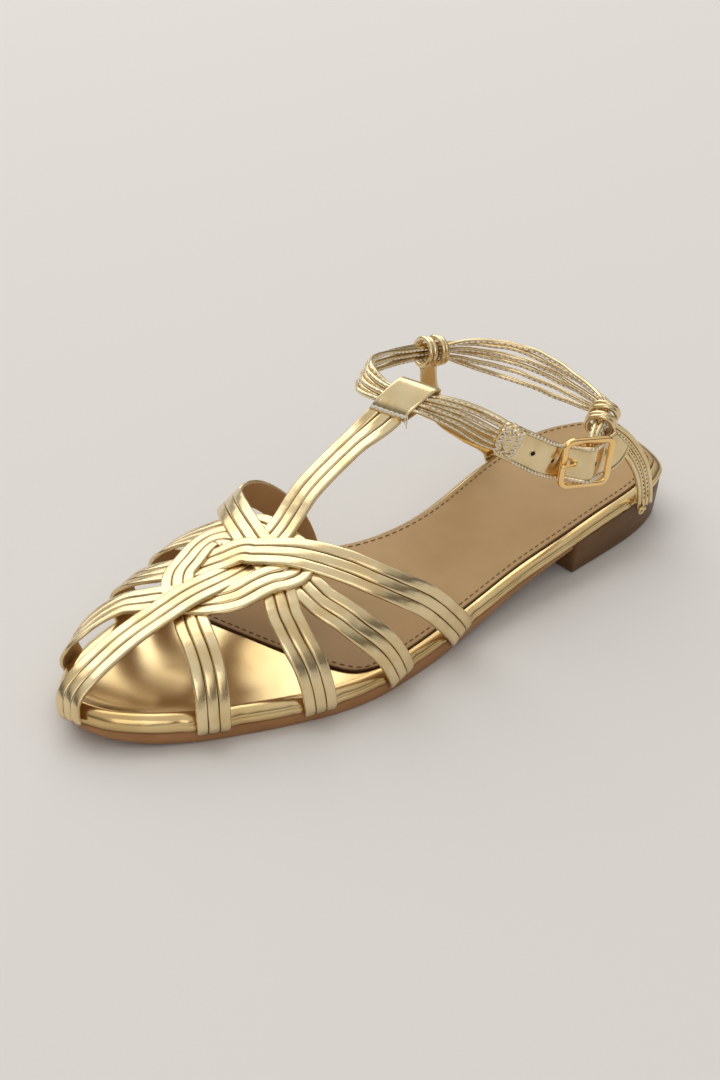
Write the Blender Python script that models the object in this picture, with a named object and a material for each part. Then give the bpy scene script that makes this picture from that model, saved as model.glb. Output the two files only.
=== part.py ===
"""Huarache sandal for the left foot: a woven strap upper on a low stacked heel.

Lengths are millimetres until a mesh is made. A point is (x, y, z): x towards the little toe,
y = -station, where the station is the distance from the heel's back towards the toe, z up from
the floor. At the end the sandal is moved so that the middle of its box stands on the origin.
"""
import math

import bmesh
import bpy
import numpy as np

MM = 0.001
NAME = "huarache_sandal"

# Sole: driving sizes
GAP = 0.3                # air left between two pieces that touch
INSOLE_THICKNESS = 0.8
INSOLE_MARGIN = 3.2      # foil edge that shows outside the insole
OUTSOLE_MARGIN = 0.6
HEEL_BREAST = 62.0       # station of the heel block's front face
# Heel block: how far it is drawn in, height (None: the board's underside)
HEEL_LAYERS = ((0.0, None), (0.7, 7.0), (1.6, 0.6), (2.2, 0.0))
TREAD_ROUNDING = 0.9
BLOCK_REACH = 75.0       # half side of the blocks that cut the sole pieces
OUTLINE_POINTS = 84
EDGE_ROUNDING = ((1.6, 0.0), (0.5, 0.14), (0.0, 0.4), (0.0, 0.66), (0.5, 0.9), (1.4, 1.0))

# Top of the insole: station, height
FOOTBED = ((-2, 21.4), (0, 21.3), (40, 20.3), (80, 16.6), (110, 13.0), (140, 11.0),
           (170, 10.5), (210, 11.5), (246, 14.3))
# Tread: station, height of the outsole's underside
TREAD = ((50, 12.6), (62, 11.4), (80, 8.6), (105, 4.0), (125, 1.0), (137, 0.0), (207, 0.0),
         (228, 1.4), (246, 5.0))
# Insole top down to the lower edge of the foil wrap: station, depth
RAND = ((0, 5.5), (140, 5.5), (218, 6.8), (246, 6.8))
# Sole outline: station, medial edge, lateral edge
OUTLINE = ((0, 0.0, 0.0), (5, -18.0, 19.0), (12, -22.3, 23.8), (26, -26.0, 27.8),
           (56, -23.6, 30.4), (89, -18.9, 31.7), (105, -20.3, 33.2), (118, -24.4, 34.8),
           (132, -32.8, 36.4), (146, -40.1, 37.8), (158, -43.0, 38.4), (172, -43.8, 36.7),
           (190, -42.8, 30.9), (204, -40.7, 25.0), (220, -35.4, 17.6), (233, -28.4, 9.2),
           (240.5, -20.4, 1.2), (244.4, -10.0, -10.0))
# Front edge of the insole: x, station
INSOLE_FRONT = ((-60, 190), (-30, 185), (-8, 179.5), (9, 174.5), (25, 168.5), (31.5, 164.5),
                (35, 157), (38, 146), (60, 120))

# Last above the straps: station, ridge line, crest height
CREST = ((100, -3.0, 84.0), (120, -4.0, 71.5), (135, -6.4, 63.0), (150, -7.6, 53.7),
         (165, -5.6, 43.4), (185, -3.8, 37.0), (205, -6.3, 32.0), (225, -9.2, 26.5),
         (234.2, -9.4, 22.8), (241.2, -9.6, 18.6), (244.7, -9.3, 14.8), (246.0, -8.0, 8.4))
LATERAL_FULLNESS = 2.4   # exponents of the last's cross-section
MEDIAL_FULLNESS = 2.8
STRAP_STAND_OFF = 1.6    # middle of a strap outside the sole's edge
TIP_MARGIN = 0.2         # the edge is read no nearer to the toe's tip than this

# Woven straps
STRAP_WIDTH = 10.9
STRAP_THICKNESS = 1.8
STRAP_RIBS = 3
STRAP_STEP = 5.6         # spacing of the sections along a strap
LAYER = 1.0              # one strap lying on another
INSTEP_ROLL = 27.0       # degrees the instep strap's end leans to the outer side
ROLL_LENGTH = 16.0

# Each strap from end to end: station, girth (-1 medial edge, 0 ridge, 1 lateral edge), layers
STRAPS = {
    "centre": ((246, 0, 0), (244.7, 0, 0), (241.2, 0, 0), (234, 0, 0), (225.5, 0, 0.2),
               (218, 0, 0.7), (211, 0, 1.3), (204, 0, 1.9), (197, 0, 2), (190.5, 0, 1.4),
               (184, 0, 0.4), (178, 0, 0), (173, 0, -0.1), (165, 0, 0), (150, 0, 0),
               (135, 0, 0), (119.4, 0, 0)),
    "lateral_loop": ((213.5, 1, 0), (213.5, 0.9, 0), (212.5, 0.7, 0), (209.5, 0.4, 0),
                     (206, 0.15, 0), (202.5, 0.02, 0), (198.5, -0.08, 0.3),
                     (194, -0.14, 0.8), (188.5, -0.165, 1.3), (183.5, -0.19, 1.4),
                     (179.5, -0.2, 1), (176, -0.18, 0.2), (173, -0.12, -0.4),
                     (171, 0, -0.5), (171.3, 0.15, -0.4), (171.5, 0.28, -0.3),
                     (171, 0.38, -0.1), (167, 0.54, 0), (163.5, 0.66, 0),
                     (159.5, 0.77, 0), (155.5, 0.88, 0), (152.5, 0.96, 0), (150.8, 1, 0)),
    "medial_loop": ((226, -1, 0), (229, -0.84, -0.3), (230, -0.68, -0.6),
                    (227, -0.5, -0.6), (221.5, -0.39, -0.4), (216.5, -0.3, -0.2),
                    (213, -0.23, 0), (209.5, -0.14, 0.2), (203, -0.03, 0.4),
                    (197.5, 0.06, 0.7), (194, 0.1, 1), (189, 0.125, 1), (184, 0.13, 1),
                    (178.5, 0.15, 1), (174.5, 0.18, 1), (171.5, 0.19, 0.6),
                    (168, 0.16, 0), (165.8, 0.08, -0.8), (165.8, -0.05, -0.8),
                    (168.5, -0.15, -0.8), (173, -0.28, -0.4), (179.5, -0.44, 0.3),
                    (184, -0.56, 0.8), (183, -0.72, 0.6), (176, -0.86, 0.2),
                    (166, -1, 0)),
    "lateral_rear": ((121.5, 1, 0), (128.5, 0.92, 0), (138.5, 0.78, 0), (147.5, 0.64, 0),
                     (154, 0.5, 0), (159, 0.35, 0.2), (163, 0.23, 0.9), (166, 0.16, 1.5),
                     (171, 0.07, 2), (176.5, -0.01, 1.9), (183.5, -0.06, 1),
                     (189, -0.12, 0.1), (193.5, -0.2, 0), (197.5, -0.29, 0),
                     (200.5, -0.41, 0), (202, -0.56, -0.3), (201, -0.76, -0.2),
                     (197, -1, 0)),
    "medial_rear": ((129.5, -1, 0), (135, -0.88, 0), (146, -0.7, 0.2), (155, -0.56, 0.5),
                    (158.5, -0.5, 0.5), (162, -0.38, 0.4), (166.5, -0.21, 0.7),
                    (170, -0.08, 1), (172.5, 0, 1), (175, 0.09, 0.8), (178, 0.18, 0.1),
                    (180.5, 0.26, -0.2), (183, 0.39, 0), (183.7, 0.54, 0),
                    (183, 0.69, 0), (182.5, 0.81, 0), (182, 0.91, 0), (181.5, 1, 0)),
}

# Sleeve at the top of the centre strap, which the ankle cords run through
SLEEVE_WIDTH = 11.8
SLEEVE_WALL = 1.2
SLEEVE_SHEAR = 0.5       # how far its outer side is drawn up along the strap, per millimetre
# Middle of its wall: distance along the strap, distance out
SLEEVE_LOOP = ((-7.6, 0.9), (-5.6, 2.3), (-2.0, 2.9), (2.5, 3.0), (6.0, 2.5), (7.6, 0.2),
               (6.0, -2.3), (2.5, -2.9), (-2.0, -2.8), (-5.6, -2.1), (-7.6, -0.9))
SLEEVE_TURN = (120.0, 135.0)  # stations that give the strap's direction at the sleeve

# Ankle cords: place, (x, station, z) of their middle, distance of each across from it, how far
# they lie in front and behind by turns, direction across them
CORD_RADIUS = 0.85
CORD_COUNT = 6
CORD_STEP = 7.0
ANKLE_ROUTE = (
    ("gather", (21.6, 89.2, 61.5), (-4.6, -2.8, -0.9, 0.9, 2.8, 4.6), 0.0, (0, 0, 1)),
    ("front_gather", (16.5, 94.2, 64.8), (-5.4, -3.3, -1.1, 1.1, 3.3, 5.2), 0.0, (0, -0.2, 1)),
    ("front", (10.0, 101.0, 69.8), (-4.4, -2.7, -0.9, 0.9, 2.7, 4.4), 0.0, (0, -0.45, 0.89)),
    ("sleeve_lateral", (3.3, 110.1, 74.2), (-3.1, -1.9, -0.6, 0.6, 1.9, 3.1), 0.6,
     (0, -0.83, 0.56)),
    ("sleeve", (-2.7, 113.9, 75.0), (-3.1, -1.9, -0.6, 0.6, 1.9, 3.1), 0.6, (0, -0.83, 0.56)),
    ("sleeve_medial", (-8.9, 117.1, 76.0), (-3.1, -1.9, -0.6, 0.6, 1.9, 3.1), 0.6,
     (0, -0.83, 0.56)),
    ("bend_front", (-17.6, 117.2, 77.0), (-4.1, -2.5, -0.8, 0.8, 2.5, 4.1), 0.3,
     (0.1, -0.6, 0.8)),
    ("bend_back", (-24.2, 110.8, 76.0), (-4.1, -2.5, -0.8, 0.8, 2.5, 4.1), 0.3,
     (0.2, -0.3, 0.93)),
    ("medial_side", (-28.1, 99.5, 73.5), (-3.2, -2.3, -0.6, 0.6, 2.3, 3.2), 0.6,
     (0.15, 0, 1)),
    ("medial_near", (-29.8, 86.6, 70.8), (-1.9, -1.9, 0.0, 0.0, 1.9, 1.9), 0.95, (0.1, 0, 1)),
    ("medial_knot_start", (-30.4, 79.3, 68.8), (-1.9, -1.9, 0.0, 0.0, 1.9, 1.9), 0.95,
     (0.1, 0, 1)),
    ("medial_knot", (-30.0, 75.8, 68.2), (-1.9, -1.9, 0.0, 0.0, 1.9, 1.9), 0.95, (0.1, 0, 1)),
    ("medial_knot_end", (-29.3, 72.4, 67.6), (-1.9, -1.9, 0.0, 0.0, 1.9, 1.9), 0.95,
     (0.1, 0, 1)),
    ("back_medial", (-26.5, 63.0, 64.8), (-4.3, -2.3, -0.4, 1.4, 3.2, 4.4), 0.4, (0, 0, 1)),
    ("back_1", (-16.5, 50.5, 61.1), (-6.8, -3.3, -0.1, 1.8, 5.0, 6.8), 0.2, (0, 0, 1)),
    ("back_2", (-2.0, 43.5, 58.3), (-6.7, -3.3, -0.2, 1.8, 4.4, 6.6), 0.2, (0, 0, 1)),
    ("back_3", (13.0, 42.5, 57.2), (-4.9, -2.6, -0.6, 1.2, 3.0, 4.7), 0.4, (0, 0, 1)),
    ("back_lateral", (21.5, 44.4, 58.2), (-2.9, -1.9, -0.4, 0.6, 2.2, 3.0), 0.7, (0, 0, 1)),
    ("lateral_knot_start", (26.5, 48.5, 59.9), (-1.9, -1.9, 0.0, 0.0, 1.9, 1.9), 0.95,
     (0, 0, 1)),
    ("lateral_knot", (28.2, 51.6, 58.7), (-1.9, -1.9, 0.0, 0.0, 1.9, 1.9), 0.95, (0, 0, 1)),
    ("lateral_knot_end", (29.8, 54.7, 57.5), (-1.9, -1.9, 0.0, 0.0, 1.9, 1.9), 0.95,
     (0, 0, 1)),
    ("keeper", (31.4, 58.0, 54.6), (-3.0, -2.2, -0.6, 0.6, 2.2, 3.0), 0.6, (0, 0, 1)),
    ("keeper_end", (32.6, 60.4, 51.5), (-3.9, -2.4, -0.8, 0.8, 2.4, 3.9), 0.3, (0, 0, 1)),
)

# Buckle: its middle, direction of the strap through it, direction out of the ankle
BUCKLE_AT = (35.2, 66.0, 50.3)
BUCKLE_ALONG = (0.31, -0.94, -0.13)
BUCKLE_OUT = (0.95, 0.30, 0.05)
FRAME_LENGTH = 19.8
FRAME_HEIGHT = 18.4
FRAME_WIRE = 1.1
FRAME_CORNER = 2.6
BAR_WIRE = 0.8
BAR_SET_BACK = 1.4
PRONG_WIRE = 0.6
PRONG_HOLE = 1.2
CLEARANCE = 0.35         # between the buckle's wires that turn on each other
PRONG_AT = -5.0          # where the prong comes up through the strap

# Flat end of the ankle strap
TAB_WIDTH = 13.2
TAB_THICKNESS = 1.4
TAB_START = ((20.2, 90.6, 61.6), (25.6, 84.6, 57.6), (29.2, 78.9, 53.8))  # x, station, z
TAB_START_FACES = ((0.72, 0.69, 0), (0.85, 0.5, 0), (0.93, 0.35, 0))
# Through the buckle: distance along from its middle, distance out
TAB_IN_BUCKLE = ((-9.3, -2.8), (-5.0, -0.6), (0.0, 2.3), (5.0, -0.6), (9.3, -2.9), (12.5, -3.5),
                 (16.8, -5.5))
KEEPER_WIDTH = 10.0
KEEPER_THICKNESS = 1.2
KEEPER_LOOP_THICKNESS = 1.0
KEEPER_ARM_WIDTH = 3.4
KEEPER_ARM_MIDDLE = 3.2  # from the buckle's middle line, so the prong passes between the arms
# Keeper behind the buckle: distance along from its middle, distance out
KEEPER_ARM = ((0.4, -3.3), (1.9, -3.5), (3.6, -3.9))
KEEPER_PLATE = ((3.0, -3.75), (4.2, -4.05), (5.6, -4.4))

# Heel straps: x, station, z of the strap's middle, from the sole's edge up to the knot
HEEL_STRAP_WIDTH = 7.4
HEEL_STRAP_RIBS = 4
HEEL_STRAPS = {
    "lateral": ((30.4, 27.0, 15.2), (30.6, 27.8, 21.5), (31.0, 31.5, 32.0), (30.6, 38.5, 43.0),
                (29.3, 45.5, 50.5)),
    "medial": ((-26.9, 44.5, 14.9), (-27.2, 46.5, 20.5), (-29.0, 57.0, 29.5),
               (-30.4, 69.0, 41.0), (-30.6, 75.0, 53.0)),
}
KNOT_RING_RADIUS = 5.1
KNOT_WIRE = 1.15
KNOT_SPREAD = 2.6        # each ring's distance from the knot's middle
KNOT_BRIDGE = (3.4, 1.3)  # reach each way from the middle, radius

# Hidden cores that make the cords one piece: length, and radius or (width, thickness)
KNOT_CORE = (6.0, 1.5)
SLEEVE_CORE = (8.0, (7.0, 1.2))
GATHER_CORE = (7.0, (12.6, 2.4))
GATHER_AHEAD = 4.0       # how much of the gather's core lies towards the cords


def smooth(knots, values, at):
    """Values at the places "at" on a curve through the knots that doesn't overshoot."""
    knots = np.asarray(knots, float)
    values = np.asarray(values, float).reshape(len(knots), -1)
    rise = np.diff(values, axis=0) / np.diff(knots)[:, None]
    slope = np.vstack([rise[:1], np.zeros((len(knots) - 2, values.shape[1])), rise[-1:]])
    same = rise[:-1] * rise[1:] > 0
    mean = 2 * rise[:-1] * rise[1:] / np.where(same, rise[:-1] + rise[1:], 1)
    slope[1:-1] = np.where(same, mean, 0)
    at = np.clip(at, knots[0], knots[-1])
    i = np.clip(np.searchsorted(knots, at, side="right") - 1, 0, len(knots) - 2)
    span = (knots[i + 1] - knots[i])[:, None]
    t = (at - knots[i])[:, None] / span
    return ((2 * t**3 - 3 * t**2 + 1) * values[i] + (t**3 - 2 * t**2 + t) * span * slope[i]
            + (3 * t**2 - 2 * t**3) * values[i + 1] + (t**3 - t**2) * span * slope[i + 1])


def flowing(points, step, closed=False):
    """Points about one step apart on a round, flowing curve through the given points."""
    points = np.asarray(points, float)
    if closed:
        padded = np.vstack([points[-1:], points, points[:2]])
    else:
        padded = np.vstack([2 * points[0] - points[1], points, 2 * points[-1] - points[-2]])
    path = []
    for a, b, c, d in zip(padded, padded[1:], padded[2:], padded[3:]):
        reach = [max(np.linalg.norm(q - p), 1e-6) ** 0.5 for p, q in ((a, b), (b, c), (c, d))]
        leave = (b - a) / reach[0] - (c - a) / (reach[0] + reach[1]) + (c - b) / reach[1]
        arrive = (c - b) / reach[1] - (d - b) / (reach[1] + reach[2]) + (d - c) / reach[2]
        for t in np.linspace(0, 1, 24, endpoint=False):
            path.append((2 * t**3 - 3 * t**2 + 1) * b + (t**3 - 2 * t**2 + t) * reach[1] * leave
                        + (3 * t**2 - 2 * t**3) * c + (t**3 - t**2) * reach[1] * arrive)
    path.append(padded[1] if closed else points[-1])
    return spaced(np.array(path), step, closed)


def spaced(path, step, closed=False):
    """The same polyline with evenly spaced points, about one step apart."""
    run = np.concatenate([[0], np.cumsum(np.linalg.norm(np.diff(path[:, :3], axis=0), axis=1))])
    count = max(round(run[-1] / step), 2)
    places = np.linspace(0, run[-1], count + (0 if closed else 1), endpoint=not closed)
    return np.stack([np.interp(places, run, column) for column in path.T], axis=1)


def unit(vector):
    return np.asarray(vector, float) / np.linalg.norm(vector)


def point(x, station, z):
    return np.array([x, -station, z], float)


def heading(x, station, z):
    return unit(point(x, station, z))


def footbed(station):
    """Height of the insole's top."""
    stations, heights = zip(*FOOTBED)
    return smooth(stations, heights, np.atleast_1d(station))[:, 0]


def tread(station):
    """Height of the outsole's underside."""
    stations, heights = zip(*TREAD)
    return smooth(stations, heights, np.atleast_1d(station))[:, 0]


def rand(station):
    """Depth of the foil wrap below the insole's top."""
    stations, depths = zip(*RAND)
    return smooth(stations, depths, np.atleast_1d(station))[:, 0]


def under_board(station):
    """Height of the outsole's and the heel's upper face."""
    return footbed(station) - rand(station) - GAP


def outline(inset=0.0, points=OUTLINE_POINTS):
    """Sole outline as (x, y) rows, drawn in by the inset."""
    lateral = [(edge, -station) for station, _, edge in OUTLINE]
    medial = [(edge, -station) for station, edge, _ in OUTLINE[-2:0:-1]]
    loop = flowing(lateral + medial, 1.0, closed=True)
    loop = spaced(np.vstack([loop, loop[:1]]), perimeter(loop) / points, closed=True)
    along = np.roll(loop, -1, axis=0) - np.roll(loop, 1, axis=0)
    inward = np.stack([along[:, 1], -along[:, 0]], axis=1)
    return loop + inset * inward / np.linalg.norm(inward, axis=1)[:, None]


def perimeter(loop):
    return np.linalg.norm(np.roll(loop, -1, axis=0) - loop, axis=1).sum()


EDGE = outline(points=600)
TOE_TIP = int(np.argmin(EDGE[:, 1]))


def edge_at(station, side):
    """x of the sole's edge at a station, on the lateral (1) or medial (-1) side."""
    half = EDGE[:TOE_TIP + 1] if side > 0 else EDGE[TOE_TIP:][::-1]
    return float(np.interp(station, -half[:, 1], half[:, 0]))


def on_last(station, girth):
    """Point of the last under the middle of a strap."""
    stations, ridges, crests = zip(*CREST)
    ridge, crest = smooth(stations, np.stack([ridges, crests], axis=1), np.array([station]))[0]
    side = 1 if girth > 0 else -1
    low = (footbed(station) - rand(station))[0]
    near_tip = OUTLINE[-1][0] - TIP_MARGIN
    reach = edge_at(min(station, near_tip), side) + side * STRAP_STAND_OFF - ridge
    power = 2 / (LATERAL_FULLNESS if girth > 0 else MEDIAL_FULLNESS)
    turn = math.radians(90 * min(abs(girth), 1))
    return point(ridge + reach * math.sin(turn) ** power, station,
                 low + max(crest - low, 0) * max(math.cos(turn), 0) ** power)


def out_of_last(station, girth):
    """Direction straight out of the last."""
    girth = min(max(girth, -0.985), 0.985)
    along = on_last(station - 0.5, girth) - on_last(station + 0.5, girth)
    around = on_last(station, girth + 0.015) - on_last(station, girth - 0.015)
    return unit(np.cross(around, along))


def strap_path(rows):
    """Middle line of a woven strap and the direction out of the foot along it."""
    knots = np.arange(len(rows))
    fine = np.linspace(0, len(rows) - 1, 16 * len(rows))
    rows = smooth(knots, rows, fine)
    path = np.array([on_last(station, girth) for station, girth, _ in rows])
    places = np.column_stack([path, rows])
    places = spaced(places, STRAP_STEP)
    out = np.array([out_of_last(station, girth) for station, girth in places[:, 3:5]])
    middle = places[:, :3] + out * (places[:, 5:6] * LAYER)
    for _ in range(2):
        out[1:-1] = (out[:-2] + 2 * out[1:-1] + out[2:]) / 4
    return middle, out / np.linalg.norm(out, axis=1)[:, None]


def rolled(middle, out):
    """Faces of the instep strap, its last part leaning to the outer side."""
    run = np.concatenate([[0], np.cumsum(np.linalg.norm(np.diff(middle, axis=0), axis=1))])
    share = np.clip((run - run[-1] + ROLL_LENGTH) / ROLL_LENGTH, 0, 1)
    turn = np.radians(INSTEP_ROLL * share**2 * (3 - 2 * share))[:, None]
    across = np.cross(np.gradient(middle, axis=0), out)
    across /= np.linalg.norm(across, axis=1)[:, None]
    return out * np.cos(turn) + across * np.sin(turn)


def ribbed_section(width, thickness, ribs):
    """(across, out) corners of a strap of rolled ribs lying side by side on a flat lining."""
    pitch = width / ribs
    valley, crown = 0.12 * thickness, 0.5 * thickness
    corners = [(-width / 2, valley)]
    for k in range(ribs):
        left = -width / 2 + k * pitch
        corners += [(left + 0.25 * pitch, crown), (left + 0.75 * pitch, crown), (left + pitch, valley)]
    return corners + [(0.47 * width, -0.5 * thickness), (-0.47 * width, -0.5 * thickness)]


def flat_section(width, thickness):
    """(across, out) corners of a plain strap."""
    half, deep = width / 2, thickness / 2
    return [(-half, deep), (half, deep), (half, -deep), (-half, -deep)]


def sweep(middle, out, section, closed=False):
    """Rings of a section carried along a path, with "out" the direction of its face."""
    if closed:
        along = np.roll(middle, -1, axis=0) - np.roll(middle, 1, axis=0)
    else:
        along = np.gradient(middle, axis=0)
    across = np.cross(along, out)
    across /= np.linalg.norm(across, axis=1)[:, None]
    face = np.cross(across, along)
    face /= np.linalg.norm(face, axis=1)[:, None]
    return [m + np.array([u * a + v * f for u, v in section]) for m, a, f in zip(middle, across, face)]


def finish_of(name, colour, metallic, roughness):
    material = bpy.data.materials.new(name)
    material.use_nodes = True
    shader = material.node_tree.nodes["Principled BSDF"]
    shader.inputs["Base Color"].default_value = (*colour, 1)
    shader.inputs["Metallic"].default_value = metallic
    shader.inputs["Roughness"].default_value = roughness
    return material


def in_collection(thing, collection):
    for home in thing.users_collection:
        home.objects.unlink(thing)
    collection.objects.link(thing)
    return thing


def mesh_object(name, mesh, collection):
    thing = bpy.data.objects.new(name, mesh)
    collection.objects.link(thing)
    return thing


def loft(name, rings, collection, closed=False, flat_ends=True):
    """Solid skin over a row of rings with the same number of points, in millimetres."""
    shape = bmesh.new()
    loops = [[shape.verts.new(corner * MM) for corner in ring] for ring in rings]
    pairs = list(zip(loops, loops[1:] + (loops[:1] if closed else [])))
    for one, other in pairs:
        for k in range(len(one)):
            shape.faces.new((one[k - 1], one[k], other[k], other[k - 1]))
    if not closed:
        ends = [shape.faces.new(loops[0]), shape.faces.new(loops[-1])]
        if not flat_ends:
            bmesh.ops.triangulate(shape, faces=ends, ngon_method="BEAUTY")
    bmesh.ops.recalc_face_normals(shape, faces=shape.faces)
    mesh = bpy.data.meshes.new(name)
    shape.to_mesh(mesh)
    shape.free()
    return mesh_object(name, mesh, collection)


def wire(name, path, radius, collection, closed=False, resolution=1):
    """Round wire along a path in millimetres, as a mesh."""
    curve = bpy.data.curves.new(name, "CURVE")
    curve.dimensions = "3D"
    curve.bevel_depth = radius * MM
    curve.bevel_resolution = resolution
    curve.use_fill_caps = True
    spline = curve.splines.new("POLY")
    spline.points.add(len(path) - 1)
    for place, spot in zip(spline.points, path):
        place.co = (*(np.asarray(spot) * MM), 1)
    spline.use_cyclic_u = closed
    drawn = bpy.data.objects.new(name + "_curve", curve)
    bpy.context.scene.collection.objects.link(drawn)
    graph = bpy.context.evaluated_depsgraph_get()
    mesh = bpy.data.meshes.new_from_object(drawn.evaluated_get(graph))
    shape = bmesh.new()
    shape.from_mesh(mesh)
    bmesh.ops.remove_doubles(shape, verts=shape.verts, dist=1e-6)
    bmesh.ops.recalc_face_normals(shape, faces=shape.faces)
    shape.to_mesh(mesh)
    shape.free()
    mesh.name = name
    bpy.data.objects.remove(drawn)
    return mesh_object(name, mesh, collection)


def combine(thing, others, operation, tools):
    """Booleans that join the others to a thing or cut them from it. The others become tools."""
    for other in others:
        in_collection(other, tools)
        other.hide_render = True
        other.display_type = "WIRE"
        step = thing.modifiers.new(other.name, "BOOLEAN")
        step.operation = operation
        step.solver = "EXACT"
        step.object = other
        step.use_self = operation == "UNION"


def block(name, low, high, collection):
    """Box between two corners in millimetres."""
    low, high = np.array(low, float), np.array(high, float)
    bpy.ops.mesh.primitive_cube_add(size=1, location=(low + high) / 2 * MM)
    box = bpy.context.object
    box.name = name
    box.scale = (high - low) * MM
    bpy.context.view_layer.update()
    box.data.transform(box.matrix_world)
    box.matrix_world.identity()
    return in_collection(box, collection)


def slab(name, layers, collection, margin=0.0):
    """Sole layer: each row of layers is an inset and a height worked out from the station."""
    rings = []
    for inset, height in layers:
        ring = outline(margin + inset)
        rings.append(np.column_stack([ring, height(-ring[:, 1])]))
    return loft(name, rings, collection, flat_ends=False)


def make_board(parts):
    """Footbed board wrapped in foil, with its rounded edge."""
    rings = []
    for inset, low in EDGE_ROUNDING:
        ring = outline(inset)
        station = -ring[:, 1]
        top = footbed(station) - INSOLE_THICKNESS - GAP
        bottom = footbed(station) - rand(station)
        rings.append(np.column_stack([ring, top + low * (bottom - top)]))
    return loft("footbed_board", rings, parts, flat_ends=False)


def insole_underside(station):
    return footbed(station) - INSOLE_THICKNESS


def make_insole(parts, tools):
    """Thin insole from the heel to behind the toes."""
    insole = slab("insole", [(0.0, footbed), (0.0, insole_underside)], parts, INSOLE_MARGIN)
    front = flowing([(x, -station) for x, station in INSOLE_FRONT], 6)
    far = BLOCK_REACH
    ends = [(far, front[-1][1]), (far, -4 * far), (-far, -4 * far), (-far, front[0][1])]
    flat = np.vstack([front, ends])
    rings = [np.column_stack([flat, np.full(len(flat), z)]) for z in (0, far)]
    combine(insole, [loft("toe_cut", rings, tools)], "DIFFERENCE", tools)
    return insole


def tread_edge(station):
    return tread(station) + TREAD_ROUNDING


def make_outsole(parts, tools):
    """Outsole from the heel's breast to the toe, with arch and toe spring."""
    layers = [(0.0, under_board), (0.0, tread_edge), (TREAD_ROUNDING, tread)]
    outsole = slab("outsole", layers, parts, OUTSOLE_MARGIN)
    far = BLOCK_REACH
    behind = block("heel_cut", (-far, -HEEL_BREAST - GAP, -far), (far, far, far), tools)
    combine(outsole, [behind], "DIFFERENCE", tools)
    return outsole


def make_heel(parts, tools):
    """Low stacked heel, drawn in a little towards the floor."""
    rings = []
    for taper, height in HEEL_LAYERS:
        ring = outline(OUTSOLE_MARGIN + taper)
        level = under_board(-ring[:, 1]) if height is None else np.full(len(ring), height)
        rings.append(np.column_stack([ring, level]))
    heel = loft("heel_block", rings, parts, flat_ends=False)
    far = BLOCK_REACH
    ahead = block("forefoot_cut", (-far, -4 * far, -far), (far, -HEEL_BREAST, far), tools)
    combine(heel, [ahead], "DIFFERENCE", tools)
    return heel


def sleeve_frame():
    """Middle of the sleeve and its axes: along the centre strap, across it, out."""
    middle, travel = route_at("sleeve")
    top, before = (on_last(station, 0) for station in SLEEVE_TURN)
    along = unit(top - before)
    out = unit(np.cross(along, travel))
    return middle, along, np.cross(along, out), out


def on_sleeve(rows):
    """Points at distances along the centre strap, across it and out from the sleeve's middle."""
    middle, *axes = sleeve_frame()
    rows = np.array(rows, float)
    rows[:, 0] += SLEEVE_SHEAR * rows[:, 1]
    return middle + rows @ np.array(axes)


def make_sleeve(tools):
    """Closed, skewed sleeve that the end of the centre strap is folded into."""
    turn = flowing(SLEEVE_LOOP, 2.2, closed=True)
    ahead = np.roll(turn, -1, axis=0) - np.roll(turn, 1, axis=0)
    face = np.stack([ahead[:, 1], -ahead[:, 0]], axis=1)
    face /= np.linalg.norm(face, axis=1)[:, None]
    face *= np.sign((face * turn).sum(axis=1).mean())
    rings = []
    for place, normal in zip(turn, face):
        corners = [(side, place + lift * normal)
                   for side, lift in flat_section(SLEEVE_WIDTH, SLEEVE_WALL)]
        rings.append(on_sleeve([(u, side, w) for side, (u, w) in corners]))
    return loft("strap_sleeve", rings, tools, closed=True)


def make_upper(parts, tools):
    """Woven straps and the instep strap, joined where they cross."""
    section = ribbed_section(STRAP_WIDTH, STRAP_THICKNESS, STRAP_RIBS)
    paths = {name: strap_path(rows) for name, rows in STRAPS.items()}
    centre, out = paths["centre"]
    paths["centre"] = (centre, rolled(centre, out))
    rings = {name: sweep(*path, section) for name, path in paths.items()}
    low = SLEEVE_LOOP[0][0]
    rings["centre"][-1] = on_sleeve([(low, side, lift) for side, lift in section])
    straps = {name: loft("strap_" + name, rows, parts) for name, rows in rings.items()}
    upper = straps.pop("centre")
    upper.name = "upper"
    combine(upper, [*straps.values(), make_sleeve(tools)], "UNION", tools)
    close_pockets(upper)
    return upper


def cord_paths():
    """Middle lines of the ankle cords, from the gather round the ankle to the keeper."""
    rows = [[*point(*place), *fan, deep, *heading(*across)]
            for _, place, fan, deep, across in ANKLE_ROUTE]
    rows = flowing(rows, 1.0)
    middle, fans, deep, across = np.split(rows, (3, 3 + CORD_COUNT, 4 + CORD_COUNT), axis=1)
    along = np.gradient(middle, axis=0)
    along /= np.linalg.norm(along, axis=1)[:, None]
    across = across - along * (across * along).sum(axis=1)[:, None]
    across /= np.linalg.norm(across, axis=1)[:, None]
    inner = np.cross(along, across)
    paths = []
    for k in range(CORD_COUNT):
        side = 1 if k % 2 else -1
        paths.append(spaced(middle + across * fans[:, k:k + 1] + inner * side * deep, CORD_STEP))
    return paths


def route_at(name):
    """Place and travel direction of the ankle cords' middle at a named row."""
    names = [row[0] for row in ANKLE_ROUTE]
    places = np.array([point(*row[1]) for row in ANKLE_ROUTE])
    k = names.index(name)
    before, after = places[max(k - 1, 0)], places[min(k + 1, len(places) - 1)]
    return places[k], unit(after - before)


def buckle_frame_axes():
    """Middle of the buckle and its axes: along the strap, across it, out of the ankle."""
    along = heading(*BUCKLE_ALONG)
    out = heading(*BUCKLE_OUT)
    out = unit(out - along * np.dot(out, along))
    return point(*BUCKLE_AT), along, np.cross(out, along), out


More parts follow.
